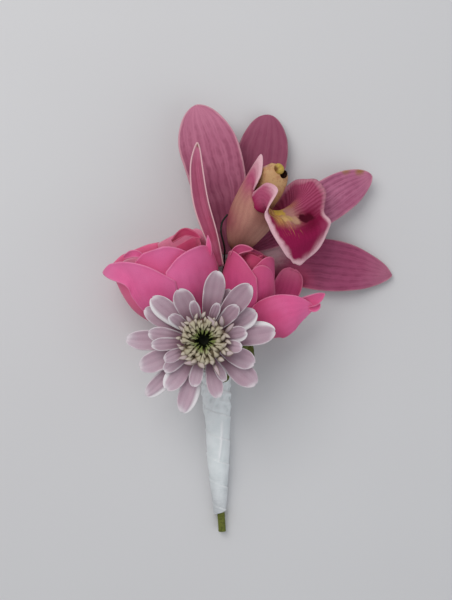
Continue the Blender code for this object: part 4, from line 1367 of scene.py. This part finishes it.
# Painted shade: near black deep in the green hole at the middle.
hole_shade = times(tree, step(tree, radius_mm, 2.4, 3.6, 1.0, 0.0),
             step(tree, height_mm, 32.6, 34.2, 1.0, 0.0))
florets.lay(hole_shade, (0.012, 0.016, 0.004))
floret_skin = florets.close((0.5, 0.66), (florets.skin["Cells"], 0.3, 0.0001), 0.2)

# %% Unopened florets


def floret_shade_sides(v, s):
    """Painted shade: brown on the flanks and underside of a floret, where the next ones shade it,
    and none along its top.
    """
    from_top = np.abs((s + 1.5) % 2 - 1)
    return 0.9 * ease(0.12, 0.42, from_top)


def floret(bm, base, middle, tip, width, flatness, tone, blunt, centre=MUM_CENTRE):
    """Adds a plump scale from base to tip; blunt is how round its tip is."""
    base, middle, tip = points(base, middle, tip)
    run = (tip - base).normalized()
    side = run.cross(UP)
    if side.length < 0.2:
        side = run.cross(Vector((0.6, 0.8, 0)))
    radii = (0.3 * width, 0.46 * width, 0.5 * width, blunt * 0.5 * width, 0.08 * width)
    scale = tube([centre + base, centre + middle, centre + tip], radii, flatness, side.normalized())
    add_round(bm, scale, 10, 12, None, tone, "fill", floret_shade_sides)


def on_disc(height, radius, bearing):
    return DISC_CENTRE + compass(bearing)[0] * radius + UP * height


def disc_relief(v, s, rim):
    """Ribs on the outside of the crater, under its rim."""
    ribs = np.cos(24 * math.pi * s)
    return 0.22 * ribs * ease(0.15, 0.25, v) * (1 - ease(0.45, 0.55, v))


# Painted shade: the disc body is brown where it shows between the florets, all but its lowest part.
def disc_shade(v, s):
    return 0.9 * ease(0.2, 0.3, v)


DISC_PROFILE = ((27.9, 0), (27.9, 3.6), (31.8, 4.1), (33.0, 5.6), (33.8, 5.8), (33.4, 3.6),
                (31.8, 2.3), (28.9, 1.9), (28.4, 0))
disc = blank_petals()
add_round(disc, turned(on_disc, DISC_PROFILE), 40, 96, disc_relief, 0.0, "fill", disc_shade)

# Rings of scales: how many, radius and height of base, middle and tip, width, bluntness.
SCALE_RINGS = (
    (11, (3.8, 32.8), (3.0, 34.0), (1.7, 33.6), 1.1, 0.3),
    (14, (4.7, 33.2), (3.7, 34.8), (2.2, 34.3), 1.35, 0.35),
    (16, (5.7, 33.4), (4.7, 35.5), (3.1, 35.1), 1.6, 0.45),
    (17, (6.6, 33.4), (5.8, 36.0), (4.2, 36.0), 1.8, 0.5),
)
for ring, (count, base, bend, tip, width, blunt) in enumerate(SCALE_RINGS):
    for number in range(count):
        bearing = math.radians(360 * number / count + 13 * ring + chance.uniform(-6, 6))
        spots = []
        for radius, height in (base, bend, tip):
            reach = radius * chance.uniform(0.93, 1.07)
            spots.append((math.cos(bearing) * reach, math.sin(bearing) * reach,
                          height + chance.uniform(-0.25, 0.25)))
            bearing += chance.uniform(-0.10, 0.14)
        floret(disc, *spots, width * chance.uniform(0.85, 1.2), 0.45, chance.uniform(0.0, 0.1),
               blunt, DISC_CENTRE)

# Knobs of the outer ring, each at (x, y, width) from the middle of the flower.
KNOBS = (
    (-2.3, 5.7, 1.5), (-1.0, 5.3, 1.3), (0.5, 6.3, 1.3), (1.4, 5.3, 1.3), (-3.6, 4.4, 1.4),
    (-4.9, 3.8, 1.6), (-5.7, 0.1, 1.4), (-4.6, 1.7, 1.5), (-6.0, -1.7, 1.5), (-5.6, -3.1, 1.6),
    (-0.7, -6.2, 2.2), (0.9, -5.3, 1.8), (2.4, -5.4, 2.0), (4.8, -4.8, 1.8), (5.4, 1.2, 1.5),
    (6.3, 2.0, 1.4), (5.4, -1.1, 1.5), (5.6, -2.6, 1.5), (-2.6, -5.3, 1.6), (3.4, 5.0, 1.5),
    (-3.9, -4.6, 1.5), (2.6, 6.2, 1.2), (-5.4, 2.8, 1.3), (-0.1, 7.7, 1.4), (4.5, 3.9, 1.4),
    (-2.2, 7.1, 1.2), (-7.0, 1.2, 1.3), (6.9, 0.2, 1.4), (-4.4, 5.4, 1.2), (6.4, -2.0, 1.3),
)
for x, y, width in KNOBS:
    out = Vector((x, y, 0)).normalized()
    head = Vector((x, y, 0)) * 1.06
    aside = Vector((-out.y, out.x, 0)) * chance.uniform(-1.1, 1.1)
    floret(disc, head - out * 0.9 - aside * 0.7 + UP * 34.0, head + UP * 35.4,
           head + out + aside + UP * 35.8, width * 0.95, 0.7, chance.uniform(0.0, 0.35), 0.8)

# Small half-open rays: base and tip at (x, y) from the middle, and width.
HALF_OPEN = (
    ((-5.0, 2.6), (-7.2, 4.7), 1.3), ((-3.4, 5.2), (-4.9, 7.6), 1.6),
    ((-3.6, -4.2), (-7.1, -4.7), 1.7), ((-1.9, -6.0), (-5.4, -6.2), 1.7),
    ((-6.2, -2.0), (-7.8, -0.6), 1.1), ((5.0, 3.4), (1.6, 7.4), 1.8),
    ((6.6, 2.9), (8.8, 5.4), 1.4), ((5.4, 4.6), (5.4, 7.6), 1.7),
    ((5.9, -3.2), (8.6, -3.2), 2.1), ((3.0, -6.4), (4.6, -9.6), 1.3),
    ((-4.6, 3.9), (-6.6, 5.9), 1.2),
)
for base, tip, width in HALF_OPEN:
    base, tip = Vector((*base, 0)), Vector((*tip, 0))
    floret(disc, base + UP * 33.4, (base + tip) / 2 + UP * 35.4,
           tip + (tip - base) * 0.12 + UP * 36.4, width, 0.3, chance.uniform(0.6, 0.9), 0.8)
dress("chrysanthemum_inner_florets", disc, [floret_skin])

# %% Chrysanthemum stem and cup
MUM_STEM_ROUTE = ((-6.7, -12.7, 27.4), (-6.7, -12.7, 25.8), (-6.7, -12.8, 24.2),
                  (-6.7, -13.2, 22.4), (-6.2, -16.2, 15.5), (-4.4, -20.0, 9.6),
                  (-2.9, -24.4, 6.2), (-1.7, -34.0, 5.2), (-1.2, -49.0, 5.0))
MUM_STEM_RADII = (4.9, 4.9, 3.4, 1.4, 1.25, 1.25, 1.25, 1.25, 1.25)
CUP_SCALES = 18
stem = blank_petals()
add_round(stem, tube(MUM_STEM_ROUTE, MUM_STEM_RADII), 110, 28, dented(0.05, 36.0))
for number in range(CUP_SCALES):
    out, side = compass(360 / CUP_SCALES * number)
    rise = 0.6 * (number % 2)
    route = [MUM_CENTRE + out * 3.4 + UP * 23.6,
             MUM_CENTRE + out * (4.9 + 0.2 * rise) + UP * 25.2,
             MUM_CENTRE + out * (5.6 + 0.3 * rise) + UP * (27.0 + 0.3 * rise)]
    add_round(stem, tube(route, (0.6, 0.8, 0.5, 0.1), 0.3, side), 8, 8)
dress("chrysanthemum_stem", stem, [stem_green_skin])

# %% [markdown]
# ## The floral tape
#
# Floral tape is a waxed, slightly stretchy ribbon, wound in a steep spiral so that each turn laps
# over the last. At the mouth it is gathered and creased. The wall is one closed grid, down the
# outside and back up the inside. Relief gives it the lapped turns, a long fold and fine creases.

# %% Tape finish
tape = Finish("floral tape", None, 7.0, 0.3)
tree = tape.tree
slant = put(tree, "Mapping", {
    "Vector": tape.place, "Rotation": (0.0, 0.0, 0.5), "Scale": (1.0, 5.0, 1.0)})
crepe = noise(tree, slant.outputs["Vector"], 620.0, 3.0)
up_stem = put(tree, "SeparateXYZ", {"Vector": tape.place}).outputs["Y"]
from_end = step(tree, up_stem, -0.064, -0.048)
waxed = blend(tree, from_end, (0.52, 0.54, 0.56), (0.74, 0.79, 0.80))
pressed = blend(tree, from_end, (0.68, 0.70, 0.72), (0.86, 0.90, 0.91))
tape.colour = blend(tree, tape.skin["Patches"], waxed, pressed)
# Painted light: whiter towards the mouth, against the shadow of the chrysanthemum over it.
tape.lay(step(tree, up_stem, -0.038, -0.024, 0.0, 0.8), (0.93, 0.97, 0.98))
tape.lay(step(tree, crepe, 0.35, 0.65, 0.0, 0.3), (0.84, 0.87, 0.88))
# Painted highlights along the fold, the free edges and the crests of the creases.
tape.lay(tape.stored("pale"), (0.95, 0.96, 0.97))
# Painted shade in the pits of the creases.
tape.lay(tape.stored("tone"), (0.36, 0.42, 0.42))
tape_skin = tape.close((0.28, 0.46), (crepe, 0.35, 0.0003), 0.5, 0.0, crepe)

# %% Tape
TAPE_MIDDLE = points((-3.7, -24.0, 0), (-3.2, -33.5, 0), (-2.75, -43.0, 0), (-2.65, -52.5, 0),
                     (-2.35, -62.0, 0), (-2.0, -71.5, 0))
TAPE_HALF_WIDTH = (5.0, 4.8, 4.1, 3.75, 3.0, 2.1)
TAPE_HEIGHT = (8.6, 8.0, 7.6, 7.4, 5.6, 4.0)
TAPE_AXIS_HEIGHT = 0.42
TAPE_WALL = 0.5
OUTSIDE_PART = 0.8  # of the grid's rows lie on the outside
TAPE_GATHERS = ((24.0, 3), (-19.0, 5), (32.0, 2), (-37.0, 4), (50.0, 1))  # slant, and turns


# The tape's surface is worked out at t, 0 at its mouth and 1 at its lower end, and s round it.


def tape_lap(t, s):
    """0 at the free edge of a turn, growing to 1 under the next edge."""
    return (5.9 * t + 0.5 * s + 0.1) % 1.0


def tape_fold(t, s):
    """One long fold that slants down the front."""
    middle = 0.34 + 0.02 * np.sin(9 * t) + 0.38 * t**2
    return np.exp(-((s - middle) / 0.035) ** 2) * ease(0.28, 0.40, t) * (1 - ease(0.58, 0.66, t))


def tape_creases(t, s):
    """Gathers and pits round the mouth, fading down the handle."""
    creases = 0.0 * s
    for number, (slant, turns) in enumerate(TAPE_GATHERS):
        across = np.sin(math.pi * turns * s + slant * t + 1.9 * number)
        ups = np.sin(math.pi * s * (number % 3 + 1) - 23.0 * t + 2.7 * number)
        creases = creases + (0.5 - np.abs(across)) * ease(0.4, 0.9, 0.5 + 0.5 * ups)
    return creases * (0.05 + 0.45 * (1 - ease(0.12, 0.42, t)))


def tape_relief(t, s):
    """Millimetres that the tape stands out."""
    return 0.40 * (1 - tape_lap(t, s)) ** 0.6 + 0.5 * tape_fold(t, s) + tape_creases(t, s)


def tape_highlights(v, s):
    """Painted highlights: whiter along the long fold where it is folded double, along each free
    edge, and on the crests of the creases.
    """
    t = np.minimum(v / OUTSIDE_PART, 1.0)
    edge = np.exp(-(tape_lap(t, s) / 0.06) ** 2) * (0.45 + 0.4 * np.sin(7 * s))
    return np.clip(tape_fold(t, s) + edge + 0.9 * tape_creases(t, s), 0, 1)


def tape_shade(v, s):
    """Painted shade: darker in the pits of the creases."""
    t = np.minimum(v / OUTSIDE_PART, 1.0)
    return np.clip(-1.6 * tape_creases(t, s) - 0.3, 0, 0.45)


def tape_wall(v, s):
    outside = v <= OUTSIDE_PART or v >= 1.0
    t = v / OUTSIDE_PART if v <= OUTSIDE_PART else (1 - v) / (1 - OUTSIDE_PART)
    inset = 0.15 - float(tape_relief(t, s)) * 0.7 if outside else TAPE_WALL
    turn = math.pi * s
    height = along(TAPE_HEIGHT, t)
    across = math.cos(turn) * (along(TAPE_HALF_WIDTH, t) - inset)
    centre = height * TAPE_AXIS_HEIGHT
    floor = 0.0 if outside else TAPE_WALL
    rise = max(centre + math.sin(turn) * (height - centre - inset), floor)
    return along(TAPE_MIDDLE, t) + Vector((across, 0.3 * across * t**8, rise))


wrap = blank_petals()
add_round(wrap, tape_wall, 250, 110, None, tape_shade, "joined", tape_highlights)
dress("tape_wrap", wrap, [tape_skin])

# %% [markdown]
# ## The floor, and the end
#
# A plain pale floor catches the faint shadows. It isn't part of the object.

# %% Floor
FLOOR_HALF = 1.5  # metres
FLOOR_GAP = 0.0003  # keeps the floor just clear of the pieces that lie on it
floor_mesh = bmesh.new()
bmesh.ops.create_grid(floor_mesh, x_segments=1, y_segments=1, size=FLOOR_HALF)
bmesh.ops.translate(floor_mesh, verts=floor_mesh.verts, vec=(0, 0, -FLOOR_GAP))
floor_skin = bpy.data.materials.new("plain pale floor")
floor_skin.use_nodes = True
tree = floor_skin.node_tree
cloud = noise(tree, put(tree, "TexCoord").outputs["Object"], 9.0)
shader = tree.nodes["Principled BSDF"]
pale = blend(tree, cloud, (0.66, 0.65, 0.66), (0.70, 0.70, 0.71))
feed(tree, shader.inputs["Base Color"], pale)
feed(tree, shader.inputs["Roughness"], 0.8)
floor = put_in_scene("floor", floor_mesh, [floor_skin])
